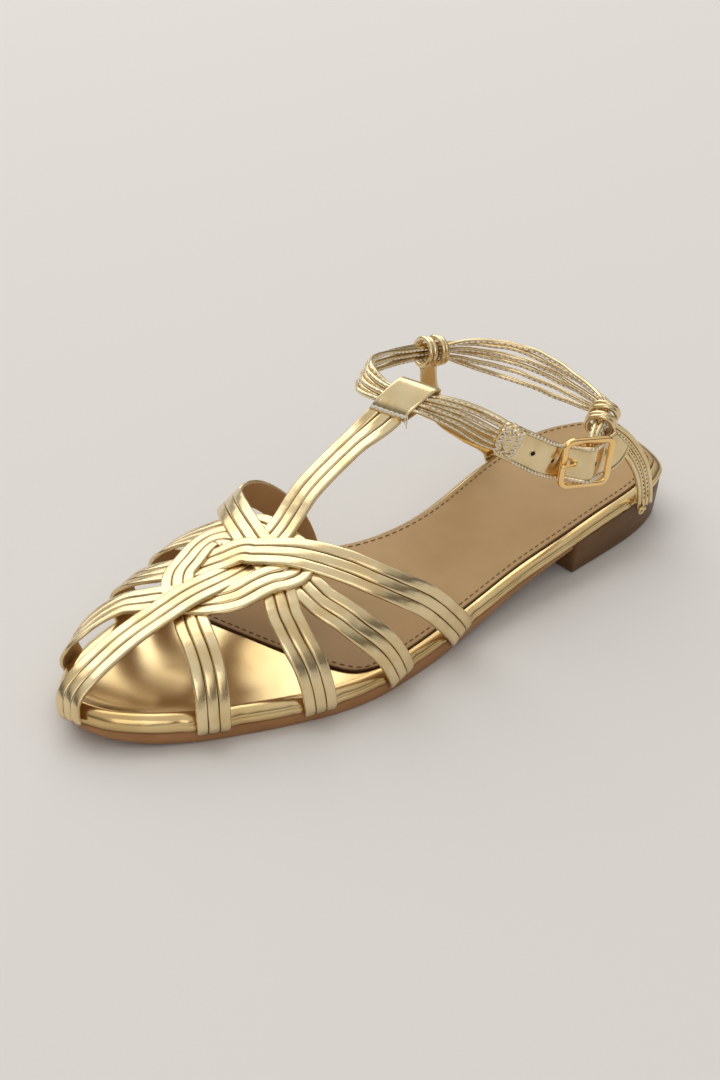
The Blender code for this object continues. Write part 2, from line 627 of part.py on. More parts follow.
def buckle_points(rows):
    """Points given as distance along the strap and distance out, at the buckle."""
    middle, along, _, out = buckle_frame_axes()
    return [middle + u * along + w * out for u, w in rows]


def flat_strap(name, path, faces, width, thickness, collection, step=3.0):
    """Plain strap through points, each with the direction its face looks."""
    rows = flowing(np.column_stack([path, faces]), step)
    rings = sweep(rows[:, :3], rows[:, 3:6], flat_section(width, thickness))
    return loft(name, rings, collection)


def make_cores(tools):
    """Hidden pieces that hold the cords together in the knots, the sleeve and the gather."""
    length, radius = KNOT_CORE
    cores = []
    for name in ("medial_knot", "lateral_knot"):
        at, travel = route_at(name)
        ends = [at - travel * length / 2, at + travel * length / 2]
        cores.append(wire(name + "_core", ends, radius, tools))
    length, size = SLEEVE_CORE
    at, travel = route_at("sleeve")
    face = sleeve_frame()[3]
    places = np.array([at + share * length * travel for share in (-0.5, 0.0, 0.5)])
    rings = sweep(places, np.array([face] * 3), flat_section(*size))
    cores.append(loft("sleeve_core", rings, tools))
    length, size = GATHER_CORE
    at, travel = route_at("gather")
    places = np.array([at + reach * travel for reach in (GATHER_AHEAD, 0, GATHER_AHEAD - length)])
    rings = sweep(places, np.array([heading(*TAB_START_FACES[0])] * 3), flat_section(*size))
    cores.append(loft("gather_core", rings, tools))
    return cores


def make_ankle_strap(parts, tools):
    """Cords round the ankle with the flat, punched end at the front and the keeper behind."""
    out = buckle_frame_axes()[3]
    tab_path = [point(*row) for row in TAB_START] + buckle_points(TAB_IN_BUCKLE)
    tab_faces = [heading(*row) for row in TAB_START_FACES] + [out] * len(TAB_IN_BUCKLE)
    strap = flat_strap("ankle_strap", tab_path, tab_faces, TAB_WIDTH, TAB_THICKNESS, parts)
    cords = [wire(f"ankle_cord_{k + 1}", path, CORD_RADIUS, tools)
             for k, path in enumerate(cord_paths())]
    joined = [*cords, *make_cores(tools), *make_keeper(tools)]
    combine(strap, joined, "UNION", tools)
    combine(strap, [make_prong_hole(tools)], "DIFFERENCE", tools)
    return strap


def make_keeper(tools):
    """Keeper behind the buckle: two arms looped round its bar, the prong between them."""
    _, along, up, out = buckle_frame_axes()
    bar = buckle_points([(0.0, -BAR_SET_BACK)])[0]
    radius = BAR_WIRE + CLEARANCE + KEEPER_LOOP_THICKNESS / 2
    turns = [math.radians(a) for a in range(0, 360, 36)]
    faces = np.array([math.cos(a) * along + math.sin(a) * out for a in turns])
    section = flat_section(KEEPER_ARM_WIDTH, KEEPER_LOOP_THICKNESS)
    pieces = [flat_strap("keeper_plate", buckle_points(KEEPER_PLATE), [out] * len(KEEPER_PLATE),
                         KEEPER_WIDTH, KEEPER_THICKNESS, tools)]
    for name, side in (("upper", 1), ("lower", -1)):
        aside = side * KEEPER_ARM_MIDDLE * up
        rings = sweep(bar + aside + radius * faces, faces, section, True)
        pieces.append(loft(f"keeper_loop_{name}", rings, tools, closed=True))
        path = [place + aside for place in buckle_points(KEEPER_ARM)]
        pieces.append(flat_strap(f"keeper_arm_{name}", path, [out] * len(path),
                                 KEEPER_ARM_WIDTH, KEEPER_LOOP_THICKNESS, tools))
    return pieces


def make_prong_hole(tools):
    """Cutter for the hole that the prong comes up through."""
    out = buckle_frame_axes()[3]
    at = buckle_points([(PRONG_AT, 0.0)])[0]
    return wire("prong_hole", [at - 5 * out, at + 5 * out], PRONG_HOLE, tools, resolution=2)


def make_buckle(parts, tools):
    """Wire frame with a bar across its middle that the keeper holds."""
    middle, along, up, out = buckle_frame_axes()
    half_length = FRAME_LENGTH / 2 - FRAME_WIRE - FRAME_CORNER
    half_height = FRAME_HEIGHT / 2 - FRAME_WIRE - FRAME_CORNER
    path = []
    for sx, sy, start in ((1, 1, 0), (-1, 1, 90), (-1, -1, 180), (1, -1, 270)):
        for turn in np.linspace(start, start + 90, 4):
            a = math.radians(turn)
            path.append(middle + (sx * half_length + FRAME_CORNER * math.cos(a)) * along
                        + (sy * half_height + FRAME_CORNER * math.sin(a)) * up)
    frame = wire("buckle_frame", path, FRAME_WIRE, parts, closed=True, resolution=2)
    reach = FRAME_HEIGHT / 2 - FRAME_WIRE
    inner = reach - 2.2
    bar = [middle + v * up - w * out
           for v, w in ((-reach, 0), (-inner, BAR_SET_BACK), (inner, BAR_SET_BACK), (reach, 0))]
    combine(frame, [wire("buckle_bar", bar, BAR_WIRE, tools, resolution=2)], "UNION", tools)
    return frame


def make_prong(parts, tools):
    """Prong hinged on the bar: under the strap, up through its hole and over the frame."""
    radius = BAR_WIRE + CLEARANCE + PRONG_WIRE
    turns = [math.radians(a) for a in range(0, 360, 30)]
    ring = [(radius * math.cos(a), radius * math.sin(a) - BAR_SET_BACK) for a in turns]
    loop = wire("prong_eye", buckle_points(ring), PRONG_WIRE, tools, closed=True)
    top = FRAME_WIRE + CLEARANCE + PRONG_WIRE
    route = [(-1.2, -3.0), (-3.2, -3.0), (PRONG_AT + 0.4, -2.6), (PRONG_AT, -1.6), (PRONG_AT, 0.9),
             (PRONG_AT - 0.5, 1.9), (PRONG_AT - 1.6, top), (-FRAME_LENGTH / 2 - 0.6, top)]
    prong = wire("buckle_prong", buckle_points(route), PRONG_WIRE, parts)
    combine(prong, [loop], "UNION", tools)
    return prong


def make_heel_strap(side, parts, tools):
    """Strap from the heel seat's edge up to the two turns it takes round the ankle cords."""
    at, travel = route_at(f"{side}_knot")
    cross = unit(np.cross(travel, (0, 0, 1)))
    rise = np.cross(cross, travel)
    foot = at - (KNOT_RING_RADIUS + 0.2) * rise
    outward = 1 if side == "lateral" else -1
    end = foot - KNOT_WIRE * rise
    middle = flowing([point(*row) for row in HEEL_STRAPS[side]] + [end], 4.0)
    faces = np.array([heading(outward, 0.05, 0.12)] * len(middle))
    section = ribbed_section(HEEL_STRAP_WIDTH, STRAP_THICKNESS, HEEL_STRAP_RIBS)
    strap = loft(f"heel_strap_{side}", sweep(middle, faces, section), parts)
    rings = []
    for k, shift in enumerate((-KNOT_SPREAD, KNOT_SPREAD)):
        turns = [math.radians(a) for a in range(0, 360, 30)]
        ring = [at + shift * travel + KNOT_RING_RADIUS * (math.cos(a) * cross + math.sin(a) * rise)
                for a in turns]
        rings.append(wire(f"{side}_turn_{k + 1}", ring, KNOT_WIRE, tools, closed=True))
    reach, radius = KNOT_BRIDGE
    ends = [foot - reach * travel, foot + reach * travel]
    rings.append(wire(f"{side}_bridge", ends, radius, tools))
    combine(strap, rings, "UNION", tools)
    return strap


def close_pockets(thing):
    """Apply the joins and drop the small air pockets that are shut in between crossing straps."""
    bpy.context.view_layer.update()
    graph = bpy.context.evaluated_depsgraph_get()
    joined = bpy.data.meshes.new_from_object(thing.evaluated_get(graph))
    shape = bmesh.new()
    shape.from_mesh(joined)
    unseen = set(shape.verts)
    islands = []
    while unseen:
        island, edge = set(), {unseen.pop()}
        while edge:
            island |= edge
            edge = {e.other_vert(v) for v in edge for e in v.link_edges} - island
        unseen -= island
        islands.append(island)
    islands.sort(key=len)
    bmesh.ops.delete(shape, geom=[v for island in islands[:-1] for v in island], context="VERTS")
    shape.to_mesh(joined)
    shape.free()
    thing.modifiers.clear()
    thing.data = joined


def stand_on_floor(parts):
    """Parent every piece to one empty and stand the middle of the sandal's box on the origin."""
    root = bpy.data.objects.new(NAME + "_root", None)
    parts.objects.link(root)
    pieces = [thing for thing in parts.objects if thing.type == "MESH"]
    bpy.context.view_layer.update()
    graph = bpy.context.evaluated_depsgraph_get()
    corners = []
    for piece in pieces:
        mesh = piece.evaluated_get(graph).to_mesh()
        spots = np.empty(3 * len(mesh.vertices), np.float32)
        mesh.vertices.foreach_get("co", spots)
        corners.append(spots.reshape(-1, 3))
    corners = np.vstack(corners)
    low, high = corners.min(axis=0), corners.max(axis=0)
    for piece in [*pieces, *bpy.data.collections[NAME + "_tools"].objects]:
        piece.parent = root
    root.location = (-(low[0] + high[0]) / 2, -(low[1] + high[1]) / 2, -low[2])


def main():
    for thing in list(bpy.data.objects):
        bpy.data.objects.remove(thing)
    parts = bpy.data.collections.new(NAME)
    tools = bpy.data.collections.new(NAME + "_tools")
    for collection in (parts, tools):
        bpy.context.scene.collection.children.link(collection)
    foil = finish_of("gold_foil", (0.66, 0.52, 0.30), 0.9, 0.32)
    foil_board = finish_of("gold_footbed", (0.58, 0.40, 0.18), 0.85, 0.3)
    lining = finish_of("tan_lining", (0.50, 0.33, 0.17), 0.0, 0.55)
    resin = finish_of("tan_resin", (0.43, 0.21, 0.08), 0.0, 0.5)
    stack = finish_of("dark_stack", (0.12, 0.055, 0.022), 0.0, 0.45)
    brass = finish_of("buckle_brass", (0.75, 0.45, 0.17), 1.0, 0.2)
    pieces = (
        (make_outsole(parts, tools), resin),
        (make_heel(parts, tools), stack),
        (make_board(parts), foil_board),
        (make_insole(parts, tools), lining),
        (make_upper(parts, tools), foil),
        (make_ankle_strap(parts, tools), foil),
        (make_heel_strap("lateral", parts, tools), foil),
        (make_heel_strap("medial", parts, tools), foil),
        (make_buckle(parts, tools), brass),
        (make_prong(parts, tools), brass),
    )
    for piece, material in pieces:
        piece.data.materials.append(material)
    stand_on_floor(parts)


main()
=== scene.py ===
"""Looks of a left huarache sandal: a woven foil upper, corded ankle strap, low stacked heel.

Lengths are millimetres in the shop frame until a mesh is made. A shop point is (x, y, z): x
towards the little toe, y = -station, where the station is the distance from the heel's back
towards the toe, and z up from the floor.
"""
import logging
import math
from collections.abc import Callable, Sequence
from dataclasses import dataclass, field
from enum import Enum

import bpy
import numpy as np
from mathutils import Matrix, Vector


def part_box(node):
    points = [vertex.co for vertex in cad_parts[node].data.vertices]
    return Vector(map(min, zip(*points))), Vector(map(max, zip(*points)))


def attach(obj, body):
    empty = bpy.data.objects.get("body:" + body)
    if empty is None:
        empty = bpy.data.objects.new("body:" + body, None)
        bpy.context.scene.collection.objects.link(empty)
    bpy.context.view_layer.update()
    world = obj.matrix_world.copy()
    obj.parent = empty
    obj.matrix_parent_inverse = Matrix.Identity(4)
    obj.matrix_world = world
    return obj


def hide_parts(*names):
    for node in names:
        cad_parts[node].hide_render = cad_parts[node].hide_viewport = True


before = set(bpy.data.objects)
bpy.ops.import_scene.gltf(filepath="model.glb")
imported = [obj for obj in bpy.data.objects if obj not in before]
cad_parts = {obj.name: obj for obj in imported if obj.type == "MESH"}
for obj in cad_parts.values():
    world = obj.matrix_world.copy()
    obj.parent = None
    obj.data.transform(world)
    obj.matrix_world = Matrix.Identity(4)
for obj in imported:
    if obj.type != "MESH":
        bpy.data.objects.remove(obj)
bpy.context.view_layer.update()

LOG = logging.getLogger("sandal")

MM = 0.001
BODY = "root"
Rows = Sequence[Sequence[float]]
Points = np.ndarray
Heights = Callable[[Points], Points]
Colour = tuple[float, float, float]
Piece = bpy.types.Object
Material = bpy.types.Material
Axes = tuple[Points, Points, Points, Points]
UP = np.array([0.0, 0.0, 1.0])


class Slot(Enum):
    """Material slots of the record."""

    OUTSOLE = "outsole"
    HEEL = "heel"
    FOOTBED = "footbed"
    INSOLE = "insole"
    STRAPS = "straps"
    BUCKLE = "buckle"


class Side(Enum):
    """Side of the foot, with the sign of its x."""

    LATERAL = 1
    MEDIAL = -1

    @property
    def word(self) -> str:
        """Its name as it stands in the names of pieces and nodes."""
        return self.name.lower()


# ---------------------------------------------------------------- curves


def unit(vectors: Points) -> Points:
    """Vectors, or one vector, scaled to length 1."""
    vectors = np.asarray(vectors, float)
    return vectors / np.linalg.norm(vectors, axis=-1, keepdims=True)


def smooth(knots: Sequence[float], values: Points, at: Points) -> Points:
    """Values on a curve through the knots that doesn't overshoot.

    Args:
        knots: rising places of the known values.
        values: one row of values for each knot.
        at: places to read.

    Returns:
        One row of values for each place.
    """
    knots = np.asarray(knots, float)
    values = np.asarray(values, float).reshape(len(knots), -1)
    rise = np.diff(values, axis=0) / np.diff(knots)[:, None]
    slope = np.vstack([rise[:1], np.zeros((len(knots) - 2, values.shape[1])), rise[-1:]])
    same = rise[:-1] * rise[1:] > 0
    mean = 2 * rise[:-1] * rise[1:] / np.where(same, rise[:-1] + rise[1:], 1)
    slope[1:-1] = np.where(same, mean, 0)
    at = np.clip(np.atleast_1d(np.asarray(at, float)), knots[0], knots[-1])
    i = np.clip(np.searchsorted(knots, at, side="right") - 1, 0, len(knots) - 2)
    span = (knots[i + 1] - knots[i])[:, None]
    t = (at - knots[i])[:, None] / span
    return ((2 * t**3 - 3 * t**2 + 1) * values[i] + (t**3 - 2 * t**2 + t) * span * slope[i]
            + (3 * t**2 - 2 * t**3) * values[i + 1] + (t**3 - t**2) * span * slope[i + 1])


def spaced(path: Points, step: float, closed: bool = False) -> Points:
    """The same polyline with evenly spaced points.

    Args:
        path: rows whose first three columns are a place; the others are carried along.
        step: wanted distance between points.
        closed: leave out the last point, which is the first one again.

    Returns:
        Rows about one step apart.
    """
    whole = travelled(path)[-1]
    count = max(round(whole / step), 2)
    places = np.linspace(0, whole, count + (0 if closed else 1), endpoint=not closed)
    return read_at(path, places)


def travelled(path: Points) -> Points:
    """Distance from the start to each point of a path."""
    return np.concatenate([[0], np.cumsum(np.linalg.norm(np.diff(path[:, :3], axis=0), axis=1))])


def read_at(path: Points, places: Points) -> Points:
    """Rows of a path at distances from its start."""
    run = travelled(path)
    return np.stack([np.interp(places, run, column) for column in path.T], axis=1)


def softened(rows: Points, times: int) -> Points:
    """Rows averaged a number of times with their neighbours, the ends kept.

    Args:
        rows: rows in order.
        times: how often.

    Returns:
        Rows of the same shape.
    """
    rows = rows.copy()
    for _ in range(times):
        rows[1:-1] = (rows[:-2] + 2 * rows[1:-1] + rows[2:]) / 4
    return rows


def kept_stretch(loop: Points, keep: Points) -> Points:
    """The one stretch of a closed outline where keep is true, in order."""
    start = int(np.flatnonzero(keep & ~np.roll(keep, 1))[0])
    return np.roll(loop, -start, axis=0)[np.roll(keep, -start)]


def drawn_in(loop: Points, inner: Points, height: Heights,
             shares: Sequence[float]) -> list[Points]:
    """Rings between a closed outline and a line or point inside it.

    Args:
        loop: (x, y) outline.
        inner: (x, y) place that each point draws in to.
        height: function from (x, y) rows to heights.
        shares: how far out each ring lies, 1 at the outline and 0 at the inner places.

    Returns:
        Rings of shop points.
    """
    rings = []
    for share in shares:
        flat = inner + (loop - inner) * share
        rings.append(np.column_stack([flat, height(flat)]))
    return rings


def full_turn(count: int) -> Points:
    """Evenly spaced angles once round."""
    return np.linspace(0, 2 * math.pi, count, endpoint=False)


def round_about(turns: Points, one: Points, other: Points) -> Points:
    """Directions at angles that turn from one axis to the other."""
    turns = np.asarray(turns)[..., None]
    return np.cos(turns) * one + np.sin(turns) * other


def flowing(points: Rows, step: float, closed: bool = False) -> Points:
    """Round, flowing curve through points.

    Args:
        points: rows to pass through.
        step: distance between the points returned.
        closed: join the end to the start.

    Returns:
        Rows about one step apart.
    """
    points = np.asarray(points, float)
    if closed:
        padded = np.vstack([points[-1:], points, points[:2]])
    else:
        padded = np.vstack([2 * points[0] - points[1], points, 2 * points[-1] - points[-2]])
    path = []
    for a, b, c, d in zip(padded, padded[1:], padded[2:], padded[3:]):
        reach = [max(np.linalg.norm(q - p), 1e-6) ** 0.5 for p, q in ((a, b), (b, c), (c, d))]
        leave = (b - a) / reach[0] - (c - a) / (reach[0] + reach[1]) + (c - b) / reach[1]
        arrive = (c - b) / reach[1] - (d - b) / (reach[1] + reach[2]) + (d - c) / reach[2]
        for t in np.linspace(0, 1, 24, endpoint=False):
            path.append((2 * t**3 - 3 * t**2 + 1) * b + (t**3 - 2 * t**2 + t) * reach[1] * leave
                        + (3 * t**2 - 2 * t**3) * c + (t**3 - t**2) * reach[1] * arrive)
    path.append(padded[1] if closed else points[-1])
    return spaced(np.array(path), step, closed)


def point(x: float, station: float, z: float) -> Points:
    """Shop point from its side, station and height."""
    return np.array([x, -station, z], float)


def powered(values: Points, power: float) -> Points:
    """Values raised to a power, their signs kept."""
    return np.sign(values) * np.abs(values) ** power


def heading(x: float, station: float, z: float) -> Points:
    """Unit direction in the shop frame."""
    return unit(point(x, station, z))


def wander(places: Points, length: float, phase: float) -> Points:
    """Slow irregular wave between about -1 and 1.

    Args:
        places: distances to read the wave at.
        length: main wavelength.
        phase: number that tells one wave from another.

    Returns:
        One value for each place.
    """
    turns = 2 * math.pi * places / length
    return (0.5 * np.sin(turns + 1.7 * phase) + 0.3 * np.sin(2.37 * turns + 2.9 * phase)
            + 0.2 * np.sin(5.13 * turns + 4.3 * phase))


# ---------------------------------------------------------------- last and sole lines


@dataclass(frozen=True)
class Last:
    """Lines of the sole and of the foot form that the straps are lasted over."""

    footbed_rows: Rows = ((-2, 21.4), (0, 21.3), (40, 20.3), (80, 16.6), (110, 13.0),
                          (140, 11.0), (170, 10.5), (210, 11.5), (246, 14.3))
    tread_rows: Rows = ((50, 12.6), (62, 11.4), (80, 8.6), (105, 4.0), (125, 1.0), (137, 0.0),
                        (207, 0.0), (228, 1.4), (246, 5.0))
    outline_rows: Rows = ((0, 0.0, 0.0), (5, -18.0, 19.0), (12, -22.3, 23.8),
                          (26, -26.0, 27.8), (56, -23.6, 30.4), (89, -18.9, 31.7),
                          (105, -20.3, 33.2), (118, -24.4, 34.8), (132, -32.8, 36.4),
                          (146, -40.1, 37.8), (158, -43.0, 38.4), (172, -43.8, 36.7),
                          (190, -42.8, 30.9), (204, -40.7, 25.0), (220, -35.4, 17.6),
                          (233, -28.4, 9.2), (240.5, -20.4, 1.2), (244.4, -10.0, -10.0))
    crest_rows: Rows = ((100, -3.0, 84.0), (120, -4.0, 71.5), (135, -6.4, 63.0),
                        (150, -7.6, 53.7), (165, -5.6, 43.4), (185, -3.8, 37.0),
                        (205, -6.3, 32.0), (225, -9.2, 26.5), (234.2, -9.4, 22.8),
                        (241.2, -9.6, 18.6), (244.7, -9.3, 14.8), (246.0, -8.0, 8.4))
    lateral_edge: float = 38.4
    rand_rows: Rows = ((0, 5.5), (140, 5.5), (218, 6.8), (246, 6.8))
    stand_off: float = 1.6
    lateral_fullness: float = 2.4
    medial_fullness: float = 2.8

    def world(self, points: Points) -> Points:
        """Shop points in millimetres as frame points in metres.

        Args:
            points: shop points.

        Returns:
            Points of the same shape.
        """
        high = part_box("footbed_board")[1]
        shift = np.array([high.x - self.lateral_edge * MM, high.y, 0.0])
        return np.asarray(points, float) * MM + shift

    def footbed(self, station: Points) -> Points:
        """Height of the insole's top at stations."""
        stations, heights = zip(*self.footbed_rows)
        return smooth(stations, heights, station)[:, 0]

    def tread(self, station: Points) -> Points:
        """Height of the outsole's underside at stations."""
        stations, heights = zip(*self.tread_rows)
        return smooth(stations, heights, station)[:, 0]

    def rand(self, station: Points) -> Points:
        """Depth of the foil-wrapped edge below the footbed at stations."""
        stations, depths = zip(*self.rand_rows)
        return smooth(stations, depths, station)[:, 0]

    def outline(self, inset: float, count: int) -> Points:
        """Sole outline drawn in by an inset.

        Args:
            inset: distance inwards.
            count: number of points.

        Returns:
            (x, y) rows, from the heel's back up the lateral side.
        """
        lateral = [(edge, -station) for station, _, edge in self.outline_rows]
        medial = [(edge, -station) for station, edge, _ in self.outline_rows[-2:0:-1]]
        loop = flowing(lateral + medial, 0.5, closed=True)
        loop = np.vstack([loop, loop[:1]])
        loop = spaced(loop, travelled(loop)[-1] / count, closed=True)
        return loop + inset * inward(loop)

    def edge_at(self, station: Points, side: int) -> Points:
        """x of the sole's edge at stations, on the lateral (1) or medial (-1) side.

        Args:
            station: stations.
            side: 1 or -1.

        Returns:
            One x for each station.
        """
        loop = self.outline(0.0, 600)
        tip = int(np.argmin(loop[:, 1]))
        half = loop[:tip + 1] if side > 0 else loop[tip:][::-1]
        return np.interp(station, -half[:, 1], half[:, 0])

    def surface(self, station: Points, girth: Points) -> Points:
        """Points of the foot form.

        Args:
            station: stations.
            girth: places round the foot, -1 medial edge, 0 ridge, 1 lateral edge.

        Returns:
            One shop point for each pair.
        """
        stations, ridges, crests = zip(*self.crest_rows)
        ridge, crest = smooth(stations, np.stack([ridges, crests], axis=1), station).T
        low = self.footbed(station) - self.rand(station)
        lateral = girth > 0
        side = np.where(lateral, 1.0, -1.0)
        near = np.minimum(station, self.outline_rows[-1][0] - 0.2)
        edge = np.where(lateral, self.edge_at(near, 1), self.edge_at(near, -1))
        reach = edge + side * self.stand_off - ridge
        power = 2 / np.where(lateral, self.lateral_fullness, self.medial_fullness)
        turn = np.radians(90 * np.minimum(np.abs(girth), 1))
        x = ridge + reach * np.sin(turn) ** power
        z = low + np.maximum(crest - low, 0) * np.maximum(np.cos(turn), 0) ** power
        return np.stack([x, -station, z], axis=1)

    def outwards(self, station: Points, girth: Points) -> Points:
        """Directions straight out of the foot form.

        Args:
            station: stations.
            girth: places round the foot, as for surface.

        Returns:
            One unit direction for each pair.
        """
        girth = np.clip(girth, -0.985, 0.985)
        along = self.surface(station - 0.5, girth) - self.surface(station + 0.5, girth)
        around = self.surface(station, girth + 0.015) - self.surface(station, girth - 0.015)
        return unit(np.cross(around, along))


LAST = Last()


def inward(loop: Points) -> Points:
    """Unit directions to the inside of a closed anticlockwise outline."""
    along = np.roll(loop, -1, axis=0) - np.roll(loop, 1, axis=0)
    return unit(np.stack([along[:, 1], -along[:, 0]], axis=1))


# ---------------------------------------------------------------- materials


class Expr:
    """A value in a material. Operators on it add Math nodes."""

    def __init__(self, nodes: "Nodes", socket: bpy.types.NodeSocket) -> None:
        """Wraps an output socket."""
        self.nodes = nodes
        self.socket = socket

    def __add__(self, other: "Expr | float") -> "Expr":
        """self + other"""
        return self.nodes.maths("ADD", self, other)

    __radd__ = __add__

    def __sub__(self, other: "Expr | float") -> "Expr":
        """self - other"""
        return self.nodes.maths("SUBTRACT", self, other)

    def __rsub__(self, other: float) -> "Expr":
        """other - self"""
        return self.nodes.maths("SUBTRACT", other, self)

    def __mul__(self, other: "Expr | float") -> "Expr":
        """self * other"""
        return self.nodes.maths("MULTIPLY", self, other)

    __rmul__ = __mul__

    def __truediv__(self, other: "Expr | float") -> "Expr":
        """self / other"""
        return self.nodes.maths("DIVIDE", self, other)

    def __pow__(self, other: float) -> "Expr":
        """self ** other"""
        return self.nodes.maths("POWER", self, other)

    def between(self, low: float, high: float) -> "Expr":
        """0 below low, 1 above high, eased between them.

        Args:
            low: value that gives 0.
            high: value that gives 1.

        Returns:
            The eased value.
        """
        node = self.nodes.add("ShaderNodeMapRange", {"interpolation_type": "SMOOTHSTEP"},
                              {"Value": self, "From Min": low, "From Max": high})
        return Expr(self.nodes, node.outputs["Result"])


class Nodes:
    """Node tree of one material or world, with its shader."""

    def __init__(self, owner: Material | bpy.types.World,
                 shader: str = "Principled BSDF") -> None:
        """Turns the owner's nodes on and finds its shader by name.

        Args:
            owner: material or world.
            shader: name of its shader node.
        """
        owner.use_nodes = True
        self.owner = owner
        self.tree = owner.node_tree
        self.shader = self.tree.nodes[shader]

    @classmethod
    def of_material(cls, name: str) -> "Nodes":
        """Nodes of a new material."""
        return cls(bpy.data.materials.new(name))

    def add(self, kind: str, settings: dict[str, object] | None = None,
            sockets: dict[str | int, object] | None = None) -> bpy.types.Node:
        """Adds a node.

        Args:
            kind: Blender's name of the node's type.
            settings: the node's own properties, and "stops" for a colour ramp.
            sockets: input name or number to a value, colour, socket or expression.

        Returns:
            The new node.
        """
        node = self.tree.nodes.new(kind)
        for key, value in (settings or {}).items():
            if key == "stops":
                ramp = node.color_ramp.elements
                while len(ramp) < len(value):
                    ramp.new(1.0)
                for stop, (place, colour) in zip(ramp, value):
                    stop.position, stop.color = place, (*colour, 1.0)
            else:
                setattr(node, key, value)
        for key, value in (sockets or {}).items():
            self.plug(node.inputs[key], value)
        return node

    def plug(self, socket: bpy.types.NodeSocket, value: object) -> None:
        """Links or sets one input socket.

        Args:
            socket: input socket.
            value: value, colour, output socket or expression.
        """
        if isinstance(value, Expr):
            value = value.socket
        if isinstance(value, bpy.types.NodeSocket):
            self.tree.links.new(value, socket)
        elif isinstance(value, tuple) and len(value) == 3 and socket.type == "RGBA":
            socket.default_value = (*value, 1.0)
        else:
            socket.default_value = value

    def maths(self, operation: str, one: Expr | float, other: Expr | float) -> Expr:
        """A Math node on two values."""
        node = self.add("ShaderNodeMath", {"operation": operation}, {0: one, 1: other})
        return Expr(self, node.outputs[0])

    def attribute(self, name: str) -> Expr:
        """Value that the mesh carries at each point."""
        node = self.add("ShaderNodeAttribute", {"attribute_name": name})
        return Expr(self, node.outputs["Fac"])

    def place(self) -> bpy.types.NodeSocket:
        """Position on the piece, in metres."""
        return self.add("ShaderNodeTexCoord").outputs["Object"]

    def noise(self, size: float, detail: float = 2.0, stretch: tuple = (1, 1, 1)) -> Expr:
        """Soft noise between 0 and 1.

        Args:
            size: size of its spots in millimetres.
            detail: finer layers added to it.
            stretch: how much longer the spots are along x, y and z.

        Returns:
            The noise.
        """
        scale = tuple(1.0 / (size * MM * s) for s in stretch)
        spread = self.add("ShaderNodeVectorMath", {"operation": "MULTIPLY"},
                          {0: self.place(), 1: scale})
        node = self.add("ShaderNodeTexNoise", {},
                        {"Vector": spread.outputs[0], "Scale": 1.0, "Detail": detail})
        return Expr(self, node.outputs["Fac"])

    def blend(self, share: Expr, one: object, other: object) -> bpy.types.NodeSocket:
        """Colour between two colours, or sockets of colour."""
        node = self.add("ShaderNodeMix", {"data_type": "RGBA"}, {0: share, 6: one, 7: other})
        return node.outputs[2]

    def bump(self, height: Expr, depth: float) -> None:
        """Feeds the shader's Normal with a height between 0 and 1, "depth" millimetres high."""
        node = self.add("ShaderNodeBump", {}, {"Height": height, "Distance": depth * MM})
        self.plug(self.shader.inputs["Normal"], node.outputs["Normal"])

    def finish(self, **values: object) -> Material | bpy.types.World:
        """Sets or links the shader's sockets.

        Args:
            values: a value, socket or expression for each socket, named with underscores.

        Returns:
            The finished material or world.
        """
        for key, value in values.items():
            self.plug(self.shader.inputs[key.replace("_", " ")], value)
        return self.owner


@dataclass(frozen=True)
class Foil:
    """Crinkled metallic leather with painted shade in its grooves and folds. Sizes and heights are
    millimetres.
    """

    name: str = "gold_foil"
    colour: Colour = (0.84, 0.69, 0.42)
    warm: Colour = (0.74, 0.56, 0.29)
    # Painted shade: the dark colour laid into grooves, folds and rolled-under edges
    groove: Colour = (0.14, 0.075, 0.026)
    roughness: float = 0.24
    grain: float = 0.012
    rumple: float = 0.05
    rumple_size: float = 3.4
    cloud_size: float = 9.0

    def material(self) -> Material:
        """Builds the material.

        Returns:
            The material.
        """
        nodes = Nodes.of_material(self.name)
        # Painted shade: the mesh's darkness share blends the tone towards the dark colour
        groove = nodes.attribute("groove").between(0.1, 0.9)
        cloud = nodes.noise(self.cloud_size)
        speck = nodes.noise(0.45, 3.0)
        tone = nodes.blend(cloud.between(0.35, 0.75), self.colour, self.warm)
        deep = self.grain + self.rumple
        nodes.bump(speck * self.grain / deep
                   + nodes.noise(self.rumple_size, 1.0) * self.rumple / deep, deep)
        return nodes.finish(
            Base_Color=nodes.blend(groove, tone, self.groove),
            Roughness=self.roughness + 0.10 * (cloud - 0.5) + 0.12 * (speck - 0.5) + 0.3 * groove,
            Metallic=1.0)


@dataclass(frozen=True)
class Leather:
    """Smooth dyed leather with fine grain and a dark edge."""

    name: str
    colour: Colour
    shade: Colour
    edge: Colour
    roughness: float = 0.5
    grain: float = 0.02

    def material(self) -> Material:
        """Builds the material.

        Returns:
            The material.
        """
        nodes = Nodes.of_material(self.name)
        cloud = nodes.noise(26.0, 3.0)
        grain = nodes.noise(0.35, 2.0)
        tone = nodes.blend(cloud.between(0.3, 0.8), self.colour, self.shade)
        nodes.bump(grain, self.grain)
        return nodes.finish(Base_Color=nodes.blend(nodes.attribute("groove"), tone, self.edge),
                            Roughness=self.roughness + 0.2 * (grain - 0.5),
                            Specular_IOR_Level=0.22)


@dataclass(frozen=True)
class Sheet:
    """Moulded sole sheet or heel stack, with faint clouds and scuffs."""

    name: str
    colour: Colour
    shade: Colour
    roughness: float

    def material(self) -> Material:
        """Builds the material.

        Returns:
            The material.
        """
        nodes = Nodes.of_material(self.name)
        cloud = nodes.noise(14.0, 3.0, (1, 1, 0.25))
        scuff = nodes.noise(1.2, 4.0, (6, 6, 1))
        tone = nodes.blend(cloud.between(0.25, 0.8), self.colour, self.shade)
        nodes.bump(scuff, 0.03)
        return nodes.finish(Base_Color=tone, Specular_IOR_Level=0.2,
                            Roughness=self.roughness + 0.25 * (scuff - 0.5))


